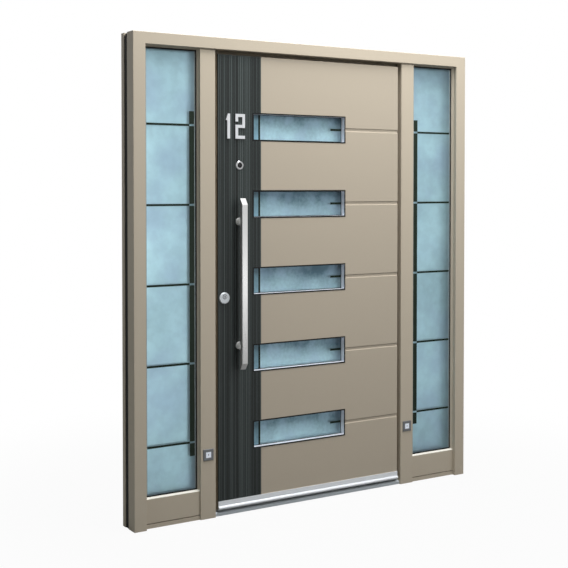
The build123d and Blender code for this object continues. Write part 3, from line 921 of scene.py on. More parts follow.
@dataclass
class Palette:
    """Every finish on the door, made once."""

    paint: MetallicPaint = MetallicPaint("beige_frame_paint", linear(180, 170, 153))
    leaf_paint: MetallicPaint = MetallicPaint("beige_leaf_paint", linear(173, 163, 147))
    strip: StripedLaminate = StripedLaminate(
        "charcoal_battens", dark=linear(10, 12, 11), light=linear(70, 78, 77)
    )
    upright_steel: BrushedMetal = BrushedMetal(
        "upright_brushed_steel", linear(208, 208, 207), roughness=0.3, metallic=0.75
    )
    digit: BrushedMetal = BrushedMetal(
        "number_steel", linear(222, 224, 227), roughness=0.34, metallic=0.85
    )
    turned_steel: BrushedMetal = BrushedMetal("turned_steel", linear(186, 187, 188), Grain.TURNED)
    satin_steel: BrushedMetal = BrushedMetal(
        "satin_post_steel", linear(232, 232, 230), Grain.TURNED, roughness=0.5, metallic=0.15
    )
    plug_steel: BrushedMetal = BrushedMetal(
        "satin_plug_steel", linear(188, 192, 195), Grain.TURNED, roughness=0.42, metallic=0.5
    )
    rose_steel: BrushedMetal = BrushedMetal(
        "satin_rose_steel", linear(198, 203, 206), Grain.TURNED, roughness=0.45, metallic=0.6
    )
    bezel: BrushedMetal = BrushedMetal(
        "grey_spot_bezel", linear(120, 122, 124), Grain.TURNED, roughness=0.4, metallic=0.6
    )
    drawn_aluminium: BrushedMetal = BrushedMetal(
        "drawn_aluminium", linear(204, 208, 213), Grain.LENGTHWISE, roughness=0.36
    )
    weather_aluminium: BrushedMetal = BrushedMetal(
        "weather_aluminium", linear(228, 232, 236), Grain.LENGTHWISE, roughness=0.42, metallic=0.3
    )
    sill_aluminium: BrushedMetal = BrushedMetal(
        "sill_aluminium", linear(192, 200, 205), Grain.LENGTHWISE, roughness=0.45, metallic=0.4
    )
    lining: BrushedMetal = BrushedMetal(
        "anodised_lining",
        linear(238, 240, 247),
        Grain.LENGTHWISE,
        roughness=0.42,
        metallic=0.3,
        streak=0.05,
    )
    gasket: Moulding = Moulding("black_gasket", linear(22, 23, 23), roughness=0.62, specular=0.25)
    thermal_break: Moulding = Moulding(
        "black_thermal_break", linear(18, 18, 17), roughness=0.7, specular=0.2
    )
    clear_line: Moulding = Moulding(
        "clear_glass_line", linear(30, 40, 32), roughness=0.35, pores=40.0, relief=0.02, specular=0.15
    )
    spacer: Moulding = Moulding(
        "grey_spacer", linear(140, 151, 153), roughness=0.5, pores=60.0, relief=0.02, specular=0.2
    )
    tinted_film: Moulding = Moulding(
        "tinted_satin_film", linear(104, 137, 150), roughness=0.4, pores=60.0, relief=0.05
    )
    viewer_glass: Moulding = Moulding(
        "viewer_glass",
        linear(10, 11, 12),
        roughness=0.08,
        pores=90.0,
        relief=0.0,
        coat=0.25,
        specular=0.3,
    )
    spot_lens: Moulding = Moulding(
        "frosted_spot_lens",
        linear(222, 228, 238),
        roughness=0.35,
        pores=500.0,
        relief=0.1,
        coat=0.2,
        glow=0.15,
    )
    board: Moulding = Moulding(
        "insulation_board", linear(205, 200, 186), roughness=0.9, pores=240.0, relief=0.5
    )
    # The glass's pale and deep colours; the deep one is also the colour of the painted shade and the painted
    # reflection.
    pale_glass: Colour = linear(182, 218, 228)
    deep_glass: Colour = linear(68, 97, 111)
    window_haze: Colour = linear(158, 184, 204)
    # Painted reflection: how much darker the second and third windows' glass is made.
    deepening: float = 0.18
    # Where the beads' painted highlight is: its height up from their foot, and how far behind their front it
    # starts.
    bead_slope: float = 7.6 * MM
    bead_lip: float = 0.1 * MM
    made: dict[str, bpy.types.Material] = field(default_factory=dict)

    def get(self, name: str) -> bpy.types.Material:
        """Return one finish, which is built at its first use.

        Args:
            name: The name of its field here.

        Returns:
            The finish as a material.
        """
        if name not in self.made:
            self.made[name] = getattr(self, name).build()
        return self.made[name]

    def add_bead_paint(self) -> None:
        """Make the paint of the outer glazing beads, with a painted highlight on their low slopes."""
        low = corners("left_outer_bead")[0]
        line = PaleLine(low.z, self.bead_slope, low.y + self.bead_lip)
        self.made["bead_paint"] = replace(self.paint, name="beige_bead_paint", line=line).build()

    def add_glass(self, windows: Sequence[Box]) -> None:
        """Make the satin glasses of the windows and of each sidelight, to fit their panes.

        Args:
            windows: The corners of the leaf's windows, from the top down.
        """
        low, high = windows[-1]
        glass = SatinGlass(
            "window_satin_glass",
            self.pale_glass,
            self.deep_glass,
            foot=low.z,
            pitch=windows[-2][0].z - low.z,
            height=high.z - low.z,
            left=low.x,
            right=high.x,
            # Painted shade darkens each window's glass from near its foot up to its head, and towards its
            # upright edges.
            head_fade=0.66,
            head_start=0.1,
            rim_fade=0.15,
            rim_width=0.1,
            cloud_scale=8.0,
            cloud_fade=0.44,
            haze=self.window_haze,
            haze_share=0.5,
        )
        self.made["window_glass"] = glass.build()
        # The second and third windows' glass gets a painted reflection that darkens it all over.
        deep_glass = replace(glass, name="deep_satin_glass", depth=self.deepening)
        self.made["deep_window_glass"] = deep_glass.build()
        for side in Side:
            node = f"{side.prefix}_sidelight_glass"
            low, high = corners(node)
            tall = high.z - low.z
            # The default painted shade darkens the top of each sidelight's glass, under the head.
            # A pitch of more than the height leaves one pane that doesn't repeat.
            glass = SatinGlass(
                f"{side.prefix}_satin_glass",
                self.pale_glass,
                self.deep_glass,
                foot=low.z,
                pitch=tall * 2,
                height=tall,
                left=low.x,
                right=high.x,
            )
            self.made[node] = glass.build()


@dataclass
class Joinery:
    """The solids that keep their shape and only take a finish."""

    by_slot: dict[str, str] = field(
        default_factory=lambda: {
            "frame_paint": "paint",
            "leaf_paint": "leaf_paint",
            "striped_strip": "strip",
            "mill_aluminium": "drawn_aluminium",
            "window_lining": "lining",
            "stainless_steel": "turned_steel",
            "satin_glass": "window_glass",
            "gasket_rubber": "gasket",
            "thermal_break": "thermal_break",
            "insulation_board": "board",
            "spot_bezel": "bezel",
            "spot_lens": "spot_lens",
            "viewer_lens": "viewer_glass",
        }
    )
    by_node: dict[str, str] = field(
        default_factory=lambda: {
            "pull_bar": "upright_steel",
            "pull_bar_posts": "satin_steel",
            "lock_cylinder": "plug_steel",
            "cylinder_rose": "rose_steel",
            "threshold": "sill_aluminium",
            "weather_bar": "weather_aluminium",
            # The second and third windows carry the glass with the painted reflection.
            "window_glass_2": "deep_window_glass",
            "window_glass_3": "deep_window_glass",
            # The outer beads' paint carries a painted highlight on their low slopes.
            "left_outer_bead": "bead_paint",
            "right_outer_bead": "bead_paint",
            "left_sidelight_glass": "left_sidelight_glass",
            "right_sidelight_glass": "right_sidelight_glass",
        }
    )

    def dress(self, frame: dict, palette: Palette) -> None:
        """Give every solid its finish.

        Args:
            frame: The loaded model.
            palette: The finishes.
        """
        for row in frame["record"]["subparts"]:
            node = row["node"]
            finish = self.by_node.get(node, self.by_slot[row["material_slot"]])
            mesh = frame["nodes"][node].data
            mesh.materials.clear()
            mesh.materials.append(palette.get(finish))
            LOG.info("%s is finished in %s", node, finish)


@dataclass
class Sidelight:
    """The clear motif on one sidelight's satin glass, and the spacers at its upright edges."""

    side: Side
    line_height: float = 9 * MM
    gasket_lap: float = 10.5 * MM
    spacer_width: float = 4 * MM
    strip_width: float = 24 * MM
    film: float = 0.5 * MM

    def build(self, windows: Sequence[Box], palette: Palette) -> None:
        """Lay the lines level with the leaf's windows and the strip beside the mullion.

        Args:
            windows: The corners of the leaf's windows, from the top down.
            palette: The finishes.
        """
        low, high = corners(f"{self.side.prefix}_sidelight_glass")
        near, far = sorted((abs(low.x), abs(high.x)))
        edge_near, edge_far = near + self.gasket_lap, far - self.gasket_lap
        strip_near, line_end = edge_near + self.spacer_width, edge_far - self.spacer_width
        strip_far = strip_near + self.strip_width
        levels = [(first.z + last.z) / 2 for first, last in windows]
        half = self.line_height / 2
        ends = [windows[0][1].z]
        for level in levels:
            ends += [level + half, level - half]
        ends.append(windows[-1][0].z)
        upright = (low.z + self.gasket_lap, high.z - self.gasket_lap)
        motif = Sculpt()
        spacers = Sculpt()
        for face in both_faces((low, high), self.film):
            for out in ((edge_near, strip_near), (line_end, edge_far)):
                self.bar(spacers, out, face, upright)
            for level in levels:
                self.bar(motif, (strip_far, line_end), face, (level - half, level + half))
            for top, foot in zip(ends[::2], ends[1::2]):
                self.bar(motif, (strip_near, strip_far), face, (foot, top))
        prefix = self.side.prefix
        motif.piece(f"{prefix}_clear_motif", palette.get("clear_line"), Body.FRAME, "satin_glass")
        spacers.piece(f"{prefix}_spacers", palette.get("spacer"), Body.FRAME, "mill_aluminium")

    def bar(self, onto: Sculpt, out: Pair, y: Pair, z: Pair) -> None:
        """Add one flat bar, given how far out from the middle of the door it starts and ends."""
        x0, x1 = sorted(distance * self.side.value for distance in out)
        onto.box((x0, y[0], z[0]), (x1, y[1], z[1]))


@dataclass
class LeafWindows:
    """The seals and clear lines of the leaf's five windows."""

    count: int = 5
    seal_width: float = 6 * MM
    seal_lap: float = 3 * MM
    seal_proud: float = 1.2 * MM
    seal_rounding: float = 0.3 * MM
    inner_seal: float = 2 * MM
    inner_seal_depth: float = 2 * MM
    inner_seal_gap: float = 1 * MM
    upright_width: float = 10 * MM
    upright_shift: float = 6 * MM
    dash_length: float = 62 * MM
    dash_height: float = 10 * MM
    film: float = 0.5 * MM

    def boxes(self) -> list[Box]:
        """Return the corners of the windows' linings, from the top down."""
        return [corners(f"window_surround_{number}") for number in range(1, self.count + 1)]

    def add_seals(self, seals: Sculpt, lining: Box, glass: Box) -> None:
        """Add the seal round one window and the thin seals against its glass.

        Args:
            seals: The mesh that takes the seals.
            lining: The corners of the window's lining.
            glass: The corners of its glass.
        """
        low, high = lining
        lap = self.seal_lap
        outer_low = (low.x - lap, low.y - self.seal_proud, low.z - lap)
        outer_high = (high.x + lap, low.y, high.z + lap)
        seals.ring(outer_low, outer_high, self.seal_width, self.seal_rounding)
        wall = glass[0].x - low.x + self.inner_seal_gap
        for y0, y1 in both_faces(glass, self.inner_seal_depth):
            inner_low = (low.x + wall, y0, low.z + wall)
            inner_high = (high.x - wall, y1, high.z - wall)
            seals.ring(inner_low, inner_high, self.inner_seal)

    def build(self, palette: Palette) -> None:
        """Make the seals round every window and the motif on its glass.

        Args:
            palette: The finishes.
        """
        upright_x = corners("decor_panel")[1].x + self.upright_shift
        left, right = upright_x - self.upright_width / 2, upright_x + self.upright_width / 2
        half = self.dash_height / 2
        seals = Sculpt()
        motif = Sculpt()
        tinted = Sculpt()
        for number, lining in enumerate(self.boxes(), start=1):
            glass = corners(f"window_glass_{number}")
            low, high = glass
            middle = (lining[0].z + lining[1].z) / 2
            dash = high.x - self.dash_length
            self.add_seals(seals, lining, glass)
            for y0, y1 in both_faces(glass, self.film):
                motif.box((left, y0, low.z), (right, y1, high.z))
                motif.box((dash, y0, middle - half), (high.x, y1, middle + half))
                tinted.box((low.x, y0, low.z), (left, y1, high.z))
        seals.piece("window_seals", palette.get("gasket"), Body.LEAF, "gasket_rubber")
        motif.piece("window_clear_motif", palette.get("clear_line"), Body.LEAF, "satin_glass")
        tinted.piece("window_tinted_panes", palette.get("tinted_film"), Body.LEAF, "satin_glass")


@dataclass
class StripedStrip:
    """The upright battens on the lock side of the leaf."""

    count: int = 24
    groove: float = 3.4 * MM
    depth: float = 1.5 * MM
    shoulder: float = 0.8 * MM
    margin: float = 2.5 * MM
    darkest: float = 0.05
    seed: int = 1888

    def spans(self, x: float, half: float, high: Vector, windows: Sequence[Box]) -> list[Pair]:
        """Return the stretches of one batten, which stops above and below the windows it meets.

        Args:
            x: The batten's middle.
            half: Half its width.
            high: The strip's highest corner.
            windows: The windows' corners, from the top down.

        Returns:
            The foot and head of each stretch, from the top down.
        """
        foot = corners("weather_bar")[1].z
        if x + half <= windows[0][0].x:
            return [(foot, high.z)]
        heads = [high.z] + [window[0].z - self.margin for window in windows]
        feet = [window[1].z + self.margin for window in windows] + [foot]
        return list(zip(feet, heads))

    def build(self, windows: Sequence[Box], palette: Palette) -> None:
        """Grow the battens side by side over the strip.

        Args:
            windows: The corners of the leaf's windows, from the top down.
            palette: The finishes.
        """
        low, high = corners("decor_panel")
        draw = random.Random(self.seed)
        pitch = (high.x - low.x) / self.count
        width = pitch - self.groove
        places, reaches, tones = [], [], []
        for i in range(self.count):
            x = low.x + pitch * (i + 0.5)
            tone = self.darkest + (1 - self.darkest) * draw.random()
            for foot, head in self.spans(x, width / 2, high, windows):
                places.append((x, low.y - self.depth / 2, foot))
                reaches.append(head - foot)
                tones.append(tone)
        cloud = point_cloud("batten_feet", places, reach=reaches, tone=tones)
        sizes = {"Width": width, "Depth": self.depth, "Shoulder": self.shoulder}
        tree = swept_tree("battens", palette.get("strip"), Run.UP)
        settle(tree.grow("strip_battens", cloud, sizes), Body.LEAF)


@dataclass
class HouseNumber:
    """Two plain block digits in metal on short pins, level with the top window.

    The flag's lean is a share of its width. Its foot, the hook's foot and the rows of pins are
    shares of the height.
    """

    stroke: float = 13.6 * MM
    stem: float = 14 * MM
    flag: float = 7.2 * MM
    flag_lean: float = 1.4
    flag_foot: float = 0.73
    hook_foot: float = 0.69
    wide: float = 48.5 * MM
    left: float = 37 * MM
    second: float = 85 * MM
    inset: float = 5.3 * MM
    thickness: float = 6 * MM
    rounding: float = 2.2 * MM
    gap: float = 2 * MM
    pin_radius: float = 3 * MM
    pin_rows: Pair = (0.12, 0.9)
    pin_sides: int = 16

    def one(self, tall: float) -> list[Pair]:
        """Return the outline of the digit one, from its lower left corner.

        Args:
            tall: The digit's height.

        Returns:
            The corners as x and z.
        """
        right = self.flag + self.stem
        flag_foot = tall * self.flag_foot
        return [
            (self.flag, 0),
            (right, 0),
            (right, tall),
            (self.flag * self.flag_lean, tall),
            (0, flag_foot),
            (self.flag, flag_foot),
        ]

    def two(self, tall: float) -> list[Pair]:
        """Return the outline of the digit two, from its lower left corner.

        Args:
            tall: The digit's height.

        Returns:
            The corners as x and z.
        """
        stroke, wide = self.stroke, self.wide
        bar_foot = (tall - stroke) / 2
        bar_top = bar_foot + stroke
        hook_foot = tall * self.hook_foot
        return [
            (0, 0),
            (wide, 0),
            (wide, stroke),
            (stroke, stroke),
            (stroke, bar_foot),
            (wide, bar_foot),
            (wide, tall),
            (0, tall),
            (0, hook_foot),
            (stroke, hook_foot),
            (stroke, tall - stroke),
            (wide - stroke, tall - stroke),
            (wide - stroke, bar_top),
            (0, bar_top),
        ]

    def build(self, window: Box, palette: Palette) -> None:
        """Stand the digits on the strip beside the top window.

        Args:
            window: The corners of the top window.
            palette: The finishes.
        """
        low = corners("decor_panel")[0]
        foot = window[0].z + self.inset
        tall = window[1].z - self.inset - foot
        rear = low.y - self.gap
        radius = self.pin_radius
        pin = [(0, -self.gap), (radius, -self.gap), (radius, 0), (0, 0)]
        number = Sculpt()
        for left, points in ((self.left, self.one(tall)), (self.second, self.two(tall))):
            placed = [(low.x + left + x, foot + z) for x, z in points]
            number.outline(placed, rear - self.thickness, rear, self.rounding)
            x = low.x + left + self.flag + self.stroke / 2
            for row in self.pin_rows:
                number.turned((x, low.y, foot + tall * row), pin, self.pin_sides)
        number.piece("house_number", palette.get("digit"), Body.LEAF, "stainless_steel")


@dataclass
class LockFurniture:
    """The small pieces of the lock and the door viewer, outside and inside.

    The key slot's outline is in halves of its width and height. The eyepiece's profile is in
    shares of the cover's radius and of how proud it stands.
    """

    keyway_width: float = 3.4 * MM
    keyway_height: float = 11 * MM
    keyway_outline: tuple[Pair, ...] = (
        (-1, -1),
        (1, -1),
        (1, -0.2),
        (1.9, 0),
        (1, 0.3),
        (1, 1),
        (-1, 1),
        (-1, 0.45),
        (-1.7, 0.2),
        (-1, -0.1),
    )
    inlay: float = 0.25 * MM
    joint_ring: float = 2.2 * MM
    inner_plug_radius: float = 8.5 * MM
    inner_plug_proud: float = 1.5 * MM
    inner_plug_edge: float = 0.4 * MM
    lens_rim: float = 1 * MM
    dome_rise: float = 1.9 * MM
    dome_steps: int = 6
    cover_radius: float = 15 * MM
    cover_proud: float = 4 * MM
    cover_profile: tuple[Pair, ...] = ((0, 0), (1, 0), (1, 0.6), (0.85, 1), (0.45, 1), (0.36, 0.5), (0, 0.5))

    def add_keyway(self, name: str, middle: Vector, y: Pair, palette: Palette) -> None:
        """Make a stepped key slot.

        Args:
            name: The piece's name.
            middle: The slot's middle.
            y: Where its front and its rear are.
            palette: The finishes.
        """
        half, tall = self.keyway_width / 2, self.keyway_height / 2
        points = [(middle.x + half * x, middle.z + tall * z) for x, z in self.keyway_outline]
        slot = Sculpt().outline(points, *y)
        slot.piece(name, palette.get("gasket"), Body.LEAF, "gasket_rubber")

    def build(self, palette: Palette) -> None:
        """Make the pieces outside, then those inside, then those of the viewer.

        Args:
            palette: The finishes.
        """
        self.build_outside(palette)
        self.build_inside(palette)
        self.build_viewer(palette)

    def build_outside(self, palette: Palette) -> None:
        """Make the key slot of the outer plug and the joint round the plug.

        Args:
            palette: The finishes.
        """
        low, high = corners("lock_cylinder")
        middle = (low + high) / 2
        self.add_keyway("outer_keyway", middle, (low.y - self.inlay, low.y), palette)
        rose_face = corners("cylinder_rose")[0].y
        radius = (high.x - low.x) / 2
        wide = radius + self.joint_ring
        profile = [(radius, 0), (radius, -self.inlay), (wide, -self.inlay), (wide, 0), (radius, 0)]
        joint = Sculpt().turned((middle.x, rose_face, middle.z), profile)
        joint.piece("plug_joint", palette.get("gasket"), Body.LEAF, "gasket_rubber")

    def build_inside(self, palette: Palette) -> None:
        """Make the plug and its key slot on the inside rose under the lever.

        Args:
            palette: The finishes.
        """
        low, high = corners("inner_roses")
        radius = (high.x - low.x) / 2
        middle = Vector(((low.x + high.x) / 2, high.y, low.z + radius))
        out, proud, edge = self.inner_plug_radius, self.inner_plug_proud, self.inner_plug_edge
        profile = [(0, 0), (out, 0), (out, proud - edge), (out - edge, proud), (0, proud)]
        plug = Sculpt().turned(middle, profile)
        plug.piece("inner_plug", palette.get("turned_steel"), Body.LEAF, "stainless_steel")
        face = high.y + proud
        self.add_keyway("inner_keyway", middle, (face, face + self.inlay), palette)

    def build_viewer(self, palette: Palette) -> None:
        """Make the viewer's domed glass outside and its eyepiece inside.

        Args:
            palette: The finishes.
        """
        low, high = corners("viewer_lens")
        middle = (low + high) / 2
        radius = (high.x - low.x) / 2 - self.lens_rim
        angles = [math.pi / 2 * i / self.dome_steps for i in range(self.dome_steps)]
        profile = [(radius * math.cos(a), -self.dome_rise * math.sin(a)) for a in angles]
        profile = [(0, 0), *profile, (0, -self.dome_rise)]
        dome = Sculpt().turned((middle.x, low.y, middle.z), profile)
        dome.piece("viewer_dome", palette.get("viewer_glass"), Body.LEAF, "viewer_lens")
        rear = corners("inner_panel")[1].y
        profile = [(self.cover_radius * out, self.cover_proud * rise) for out, rise in self.cover_profile]
        eyepiece = Sculpt().turned((middle.x, rear, middle.z), profile)
        eyepiece.piece("viewer_eyepiece", palette.get("turned_steel"), Body.LEAF, "stainless_steel")


@dataclass
class LockEdge:
    """The bolts' ends on the leaf's edge and the openings for them in the strike plate."""

    latch: Pair = (13 * MM, 22 * MM)
    bolt: Pair = (12 * MM, 36 * MM)
    latch_rise: float = 44 * MM
    bolt_drop: float = 36 * MM
    proud: float = 0.5 * MM
    rounding: float = 0.15 * MM
    room: float = 2 * MM
    inset: float = 0.25 * MM

    def build(self, palette: Palette) -> None:
        """Make the bolts' ends in steel and the openings in black.

        Args:
            palette: The finishes.
        """
        low, high = corners("lock_faceplate")
        middle = (low + high) / 2
        strike_face = corners("strike_plate")[1].x
        ends = Sculpt()
        openings = Sculpt()
        for (wide, tall), rise in ((self.latch, self.latch_rise), (self.bolt, -self.bolt_drop)):
            z = middle.z + rise
            y0, y1 = middle.y - wide / 2, middle.y + wide / 2
            ends.box((low.x - self.proud, y0, z - tall / 2), (low.x, y1, z + tall / 2), self.rounding)
            y0, y1, tall = y0 - self.room, y1 + self.room, tall + 2 * self.room
            openings.box((strike_face, y0, z - tall / 2), (strike_face + self.inset, y1, z + tall / 2))
        ends.piece("bolt_ends", palette.get("turned_steel"), Body.LEAF, "stainless_steel")
        openings.piece("strike_openings", palette.get("gasket"), Body.FRAME, "gasket_rubber")


@dataclass
class ScrewSet:
    """Countersunk screws with sunk sockets on the hinges and the lock's plates.

    The rim and the socket are shares of the head's radius. A hinge reaches one knuckle below its
    middle on the frame and one above it on the leaf, and its screws sit in from the wings' outer
    edges by a share of their width.
    """

    radius: float = 4.2 * MM
    sides: int = 24
    rise: float = 0.5 * MM
    rim: float = 0.86
    socket: float = 0.52
    sink: float = 0.35 * MM
    hinge_count: int = 3
    hinge_rows: Pair = (10 * MM, 35 * MM)
    knuckle: float = 46 * MM
    wing: float = 4 * MM
    wing_share: float = 0.3
    plate_inset: float = 10 * MM

    def hinge_points(self) -> tuple[list[Point], list[Point]]:
        """Find the places of the screws on the hinges, which are spaced evenly.

        Returns:
            The places on the frame's wings and those on the leaf's wings.
        """
        frame_low, frame_high = corners("frame_hinges")
        leaf_low, leaf_high = corners("leaf_hinges")
        lowest, highest = frame_low.z + self.knuckle, leaf_high.z - self.knuckle
        pitch = (highest - lowest) / (self.hinge_count - 1)
        heights = [lowest + pitch * i for i in range(self.hinge_count)]
        axis = (leaf_low.x + frame_high.x) / 2
        reach = (frame_high.x - axis) * (1 - self.wing_share)
        face = frame_low.y + self.wing
        spots = [(height, row) for height in heights for row in self.hinge_rows]
        on_frame = [(axis + reach, face, height - row) for height, row in spots]
        on_leaf = [(axis - reach, face, height + row) for height, row in spots]
        return on_frame, on_leaf

    def plate_points(self, node: str, x: float) -> list[Point]:
        """Find the places of the two screws at the ends of a plate.

        Args:
            node: The plate's name.
            x: Where its face is.

        Returns:
            The lower place and the upper one.
        """
        low, high = corners(node)
        y = (low.y + high.y) / 2
        return [(x, y, low.z + self.plate_inset), (x, y, high.z - self.plate_inset)]

    def build(self, palette: Palette) -> None:
        """Drive every screw, one set for each body.

        Args:
            palette: The finishes.
        """
        on_frame, on_leaf = self.hinge_points()
        strike = self.plate_points("strike_plate", corners("strike_plate")[1].x)
        faceplate = self.plate_points("lock_faceplate", corners("lock_faceplate")[0].x)
        tree = self.tree(palette.get("turned_steel"))
        rear, right, left = (0.0, 1.0, 0.0), (1.0, 0.0, 0.0), (-1.0, 0.0, 0.0)
        sets = (
            (Body.FRAME, on_frame + strike, [rear] * len(on_frame) + [right] * len(strike)),
            (Body.LEAF, on_leaf + faceplate, [rear] * len(on_leaf) + [left] * len(faceplate)),
        )
        sizes = {"Radius": self.radius, "Rise": self.rise, "Socket": self.socket, "Sink": -self.sink}
        for body, places, facing in sets:
            name = f"{body.value}_screws"
            cloud = point_cloud(f"{name}_places", places, facing=facing)
            settle(tree.grow(name, cloud, sizes), body)

    def tree(self, material: bpy.types.Material) -> GeometryTree:
        """Return the tree that sets a screw head with a sunk socket on each point.

        Args:
            material: The screws' finish.

        Returns:
            The tree, whose sizes are the head's radius and rise, and the socket's share and sink.
        """
        tree = GeometryTree("screws")
        radius, rise, socket, sink = tree.sizes("Radius", "Rise", "Socket", "Sink")
        rim = tree.math("MULTIPLY", radius, self.rim)
        cone = {"Vertices": self.sides, "Radius Top": rim, "Radius Bottom": radius, "Depth": rise}
        head = tree.add("GeometryNodeMeshCone", cone)
        flat = {"Mesh": head.outputs["Mesh"], "Selection": head.outputs["Top"], "Offset Scale": 0.0}
        inset = tree.add("GeometryNodeExtrudeMesh", flat)
        inner = {"Geometry": inset.outputs["Mesh"], "Selection": inset.outputs["Top"], "Scale": socket}
        shrunk = tree.add("GeometryNodeScaleElements", inner)
        sunk = {"Mesh": shrunk.outputs[0], "Selection": inset.outputs["Top"], "Offset Scale": sink}
        screw = tree.add("GeometryNodeExtrudeMesh", sunk)
        facing = tree.attribute("facing", "FLOAT_VECTOR")
        turn = tree.add("FunctionNodeAlignRotationToVector", {"Vector": facing}, axis="Z")
        tree.close(material, Instance=screw.outputs["Mesh"], Rotation=turn.outputs[0])
        return tree


@dataclass
class ThresholdRibs:
    """The fine ribs along the top of the threshold, seen when the leaf is open."""

    count: int = 9
    width: float = 4 * MM
    height: float = 0.8 * MM
    shoulder: float = 1 * MM
    margin: float = 12 * MM
    end_gap: float = 26 * MM

    def build(self, palette: Palette) -> None:
        """Lay the ribs side by side between the mullions.

        Args:
            palette: The finishes.
        """
        low, high = corners("threshold")
        pitch = (high.y - low.y - 2 * self.margin) / (self.count - 1)
        rows = [low.y + self.margin + pitch * i for i in range(self.count)]
        length = high.x - low.x - 2 * self.end_gap
        places = [(low.x + self.end_gap, row, high.z + self.height / 2) for row in rows]
        cloud = point_cloud("rib_starts", places, reach=[length] * self.count)
        sizes = {"Width": self.width, "Depth": self.height, "Shoulder": self.shoulder}
        tree = swept_tree("ribs", palette.get("sill_aluminium"), Run.ALONG)
        settle(tree.grow("threshold_ribs", cloud, sizes), Body.FRAME)


@dataclass
class Spots:
    """The light source in the middle of each square spot, whose rim is a share of its radius."""

    radius: float = 2.6 * MM
    rim: float = 0.7
    proud: float = 0.4 * MM
    sides: int = 20

    def build(self, palette: Palette) -> None:
        """Set a small dark dot on each lens.

        Args:
            palette: The finishes.
        """
        low, high = corners("spot_lenses")
        half = (high.z - low.z) / 2
        profile = [(0, 0), (self.radius, 0), (self.radius * self.rim, -self.proud), (0, -self.proud)]
        dots = Sculpt()
        for x in (low.x + half, high.x - half):
            dots.turned((x, low.y, (low.z + high.z) / 2), profile, self.sides)
        dots.piece("spot_dots", palette.get("gasket"), Body.FRAME, "spot_lens")


@dataclass(frozen=True)
class Lamp:
    """One soft rectangular lamp: its place, what it points at, its size and its power in watts."""

    name: str
    place: Point
    target: Point
    size: Pair
    power: float
    glints: bool = True
    tint: Colour = (1.0, 1.0, 1.0)

    def hang(self) -> None:
        """Add the lamp to the scene, unseen by the camera and through glass."""
        data = bpy.data.lights.new(self.name, "AREA")
        data.shape = "RECTANGLE"
        data.size, data.size_y = self.size
        data.energy = self.power
        data.color = self.tint
        lamp = bpy.data.objects.new(self.name, data)
        lamp.location = self.place
        aim = Vector(self.target) - Vector(self.place)
        lamp.rotation_euler = aim.to_track_quat("-Z", "Y").to_euler()
        lamp.visible_camera = False
        lamp.visible_transmission = False
        lamp.visible_glossy = self.glints
        bpy.context.scene.collection.objects.link(lamp)


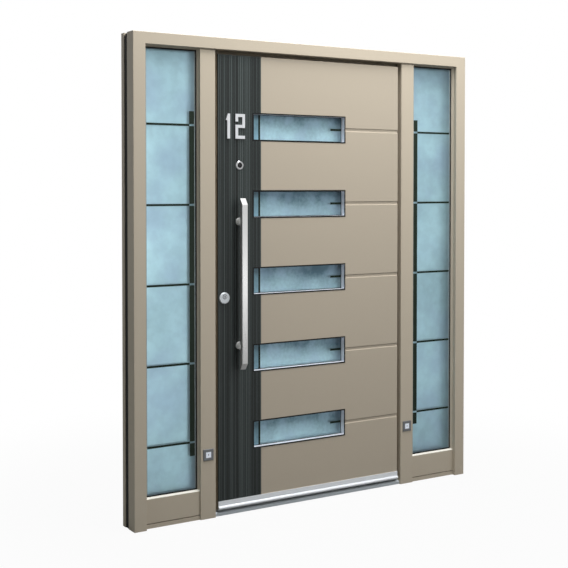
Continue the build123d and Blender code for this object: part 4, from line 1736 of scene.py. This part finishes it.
@dataclass
class Studio:
    """A pale floor, a white surround, soft lamps and the camera.

    The floor's glow grows over the shadow's reach, in metres from the middle of the door. The
    camera's lens and sensor are in millimetres, and its yaw and pitch in degrees.
    """

    floor_size: float = 24.0
    floor_grey: float = 0.22
    floor_roughness: float = 0.9
    shadow_reach: Pair = (1.0, 2.6)
    floor_glow: Pair = (0.955, 1.0)
    ambient: float = 0.07
    lens: float = 70.10
    sensor: float = 36.0
    shift: float = -0.12
    place: Point = (-2.8244, -4.3007, 1.4539)
    yaw: float = 32.071
    pitch: float = -1.492
    lamps: tuple[Lamp, ...] = (
        Lamp("key", (1.1, -2.2, 3.3), (0.25, 0.0, 1.45), (2.5, 1.0), 86.0, glints=False),
        Lamp("overhead", (0.3, -0.38, 4.4), (0.1, -0.25, 0.0), (3.2, 0.7), 225.0),
        Lamp("left", (-4.4, -0.9, 0.7), (-0.9, 0.0, 0.5), (2.0, 1.3), 21.0, tint=(0.92, 1.0, 1.0)),
        Lamp("card", (1.10, -2.70, 0.74), (-0.39, -0.09, 1.02), (0.7, 0.36), 3.0),
        Lamp("rear", (0.4, 3.8, 1.0), (0.0, 0.0, 0.75), (2.5, 2.0), 92.0),
    )

    def build(self) -> None:
        """Set up all of the studio."""
        self.build_floor()
        self.build_world()
        for lamp in self.lamps:
            lamp.hang()
        self.add_camera()

    def build_floor(self) -> None:
        """Lay a floor that looks white further out and keeps a faint shadow close to the door."""
        half = self.floor_size / 2
        edges = [(-half, -half, 0), (half, -half, 0), (half, half, 0), (-half, half, 0)]
        mesh = bpy.data.meshes.new("floor")
        mesh.from_pydata(edges, [], [(0, 1, 2, 3)])
        floor = bpy.data.objects.new("floor", mesh)
        bpy.context.scene.collection.objects.link(floor)
        graph = ShaderGraph("white_floor")
        grey = (self.floor_grey,) * 3
        graph.surface(base_color=grey, roughness=self.floor_roughness, specular_ior_level=0.0)
        away = graph.add("ShaderNodeVectorMath", {0: graph.place}, operation="LENGTH")
        spread = graph.span(away.outputs["Value"], *self.shadow_reach, self.floor_glow)
        path = graph.add("ShaderNodeLightPath").outputs
        seen = graph.math("MAXIMUM", path["Is Camera Ray"], path["Is Transmission Ray"])
        share = graph.math("MULTIPLY", seen, spread)
        glow = graph.add("ShaderNodeEmission")
        sources = {0: share, 1: graph.shader.outputs[0], 2: glow.outputs[0]}
        blend = graph.add("ShaderNodeMixShader", sources)
        graph.feed(graph.tree.nodes["Material Output"].inputs["Surface"], blend.outputs[0])
        mesh.materials.append(graph.material)

    def build_world(self) -> None:
        """Make the surround white to the camera and in reflections, and dimmer as a light."""
        world = bpy.data.worlds.new("white_surround")
        bpy.context.scene.world = world
        world.use_nodes = True
        graph = Graph(world.node_tree)
        path = graph.add("ShaderNodeLightPath").outputs
        seen = graph.math("MAXIMUM", path["Is Camera Ray"], path["Is Glossy Ray"])
        seen = graph.math("MAXIMUM", seen, path["Is Transmission Ray"])
        sources = {"Value": seen, "To Min": self.ambient, "To Max": 1.0}
        level = graph.add("ShaderNodeMapRange", sources)
        background = graph.tree.nodes["Background"]
        graph.feed(background.inputs["Color"], (1.0, 1.0, 1.0))
        graph.feed(background.inputs["Strength"], level.outputs["Result"])

    def add_camera(self) -> None:
        """Stand the camera in front and to the left, level with the upper half of the door."""
        data = bpy.data.cameras.new("camera")
        data.lens = self.lens
        data.sensor_width = self.sensor
        data.shift_y = self.shift
        camera = bpy.data.objects.new("camera", data)
        camera.location = self.place
        camera.rotation_euler = (math.radians(90 + self.pitch), 0.0, math.radians(-self.yaw))
        bpy.context.scene.collection.objects.link(camera)
        bpy.context.scene.camera = camera


@dataclass
class FrontDoor:
    """The whole door set: its finishes and all the pieces that the solids leave out."""

    palette: Palette = field(default_factory=Palette)
    joinery: Joinery = field(default_factory=Joinery)
    windows: LeafWindows = field(default_factory=LeafWindows)
    strip: StripedStrip = field(default_factory=StripedStrip)
    number: HouseNumber = field(default_factory=HouseNumber)
    lock: LockFurniture = field(default_factory=LockFurniture)
    lock_edge: LockEdge = field(default_factory=LockEdge)
    screws: ScrewSet = field(default_factory=ScrewSet)
    ribs: ThresholdRibs = field(default_factory=ThresholdRibs)
    spots: Spots = field(default_factory=Spots)

    def build(self, frame: dict) -> None:
        """Dress the solids and add every piece.

        Args:
            frame: The loaded model.
        """
        boxes = self.windows.boxes()
        self.palette.add_glass(boxes)
        self.palette.add_bead_paint()
        self.joinery.dress(frame, self.palette)
        self.windows.build(self.palette)
        for side in Side:
            Sidelight(side).build(boxes, self.palette)
        self.strip.build(boxes, self.palette)
        self.number.build(boxes[0], self.palette)
        self.lock.build(self.palette)
        self.lock_edge.build(self.palette)
        self.screws.build(self.palette)
        self.ribs.build(self.palette)
        self.spots.build(self.palette)


def main() -> None:
    """Load the model, dress it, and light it."""
    logging.basicConfig(level=logging.INFO, format="%(name)s: %(message)s")
    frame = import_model()
    FrontDoor().build(frame)
    Studio().build()
    bpy.context.scene.view_settings.view_transform = "Standard"
    bpy.context.view_layer.update()


if __name__ == "__main__":
    main()
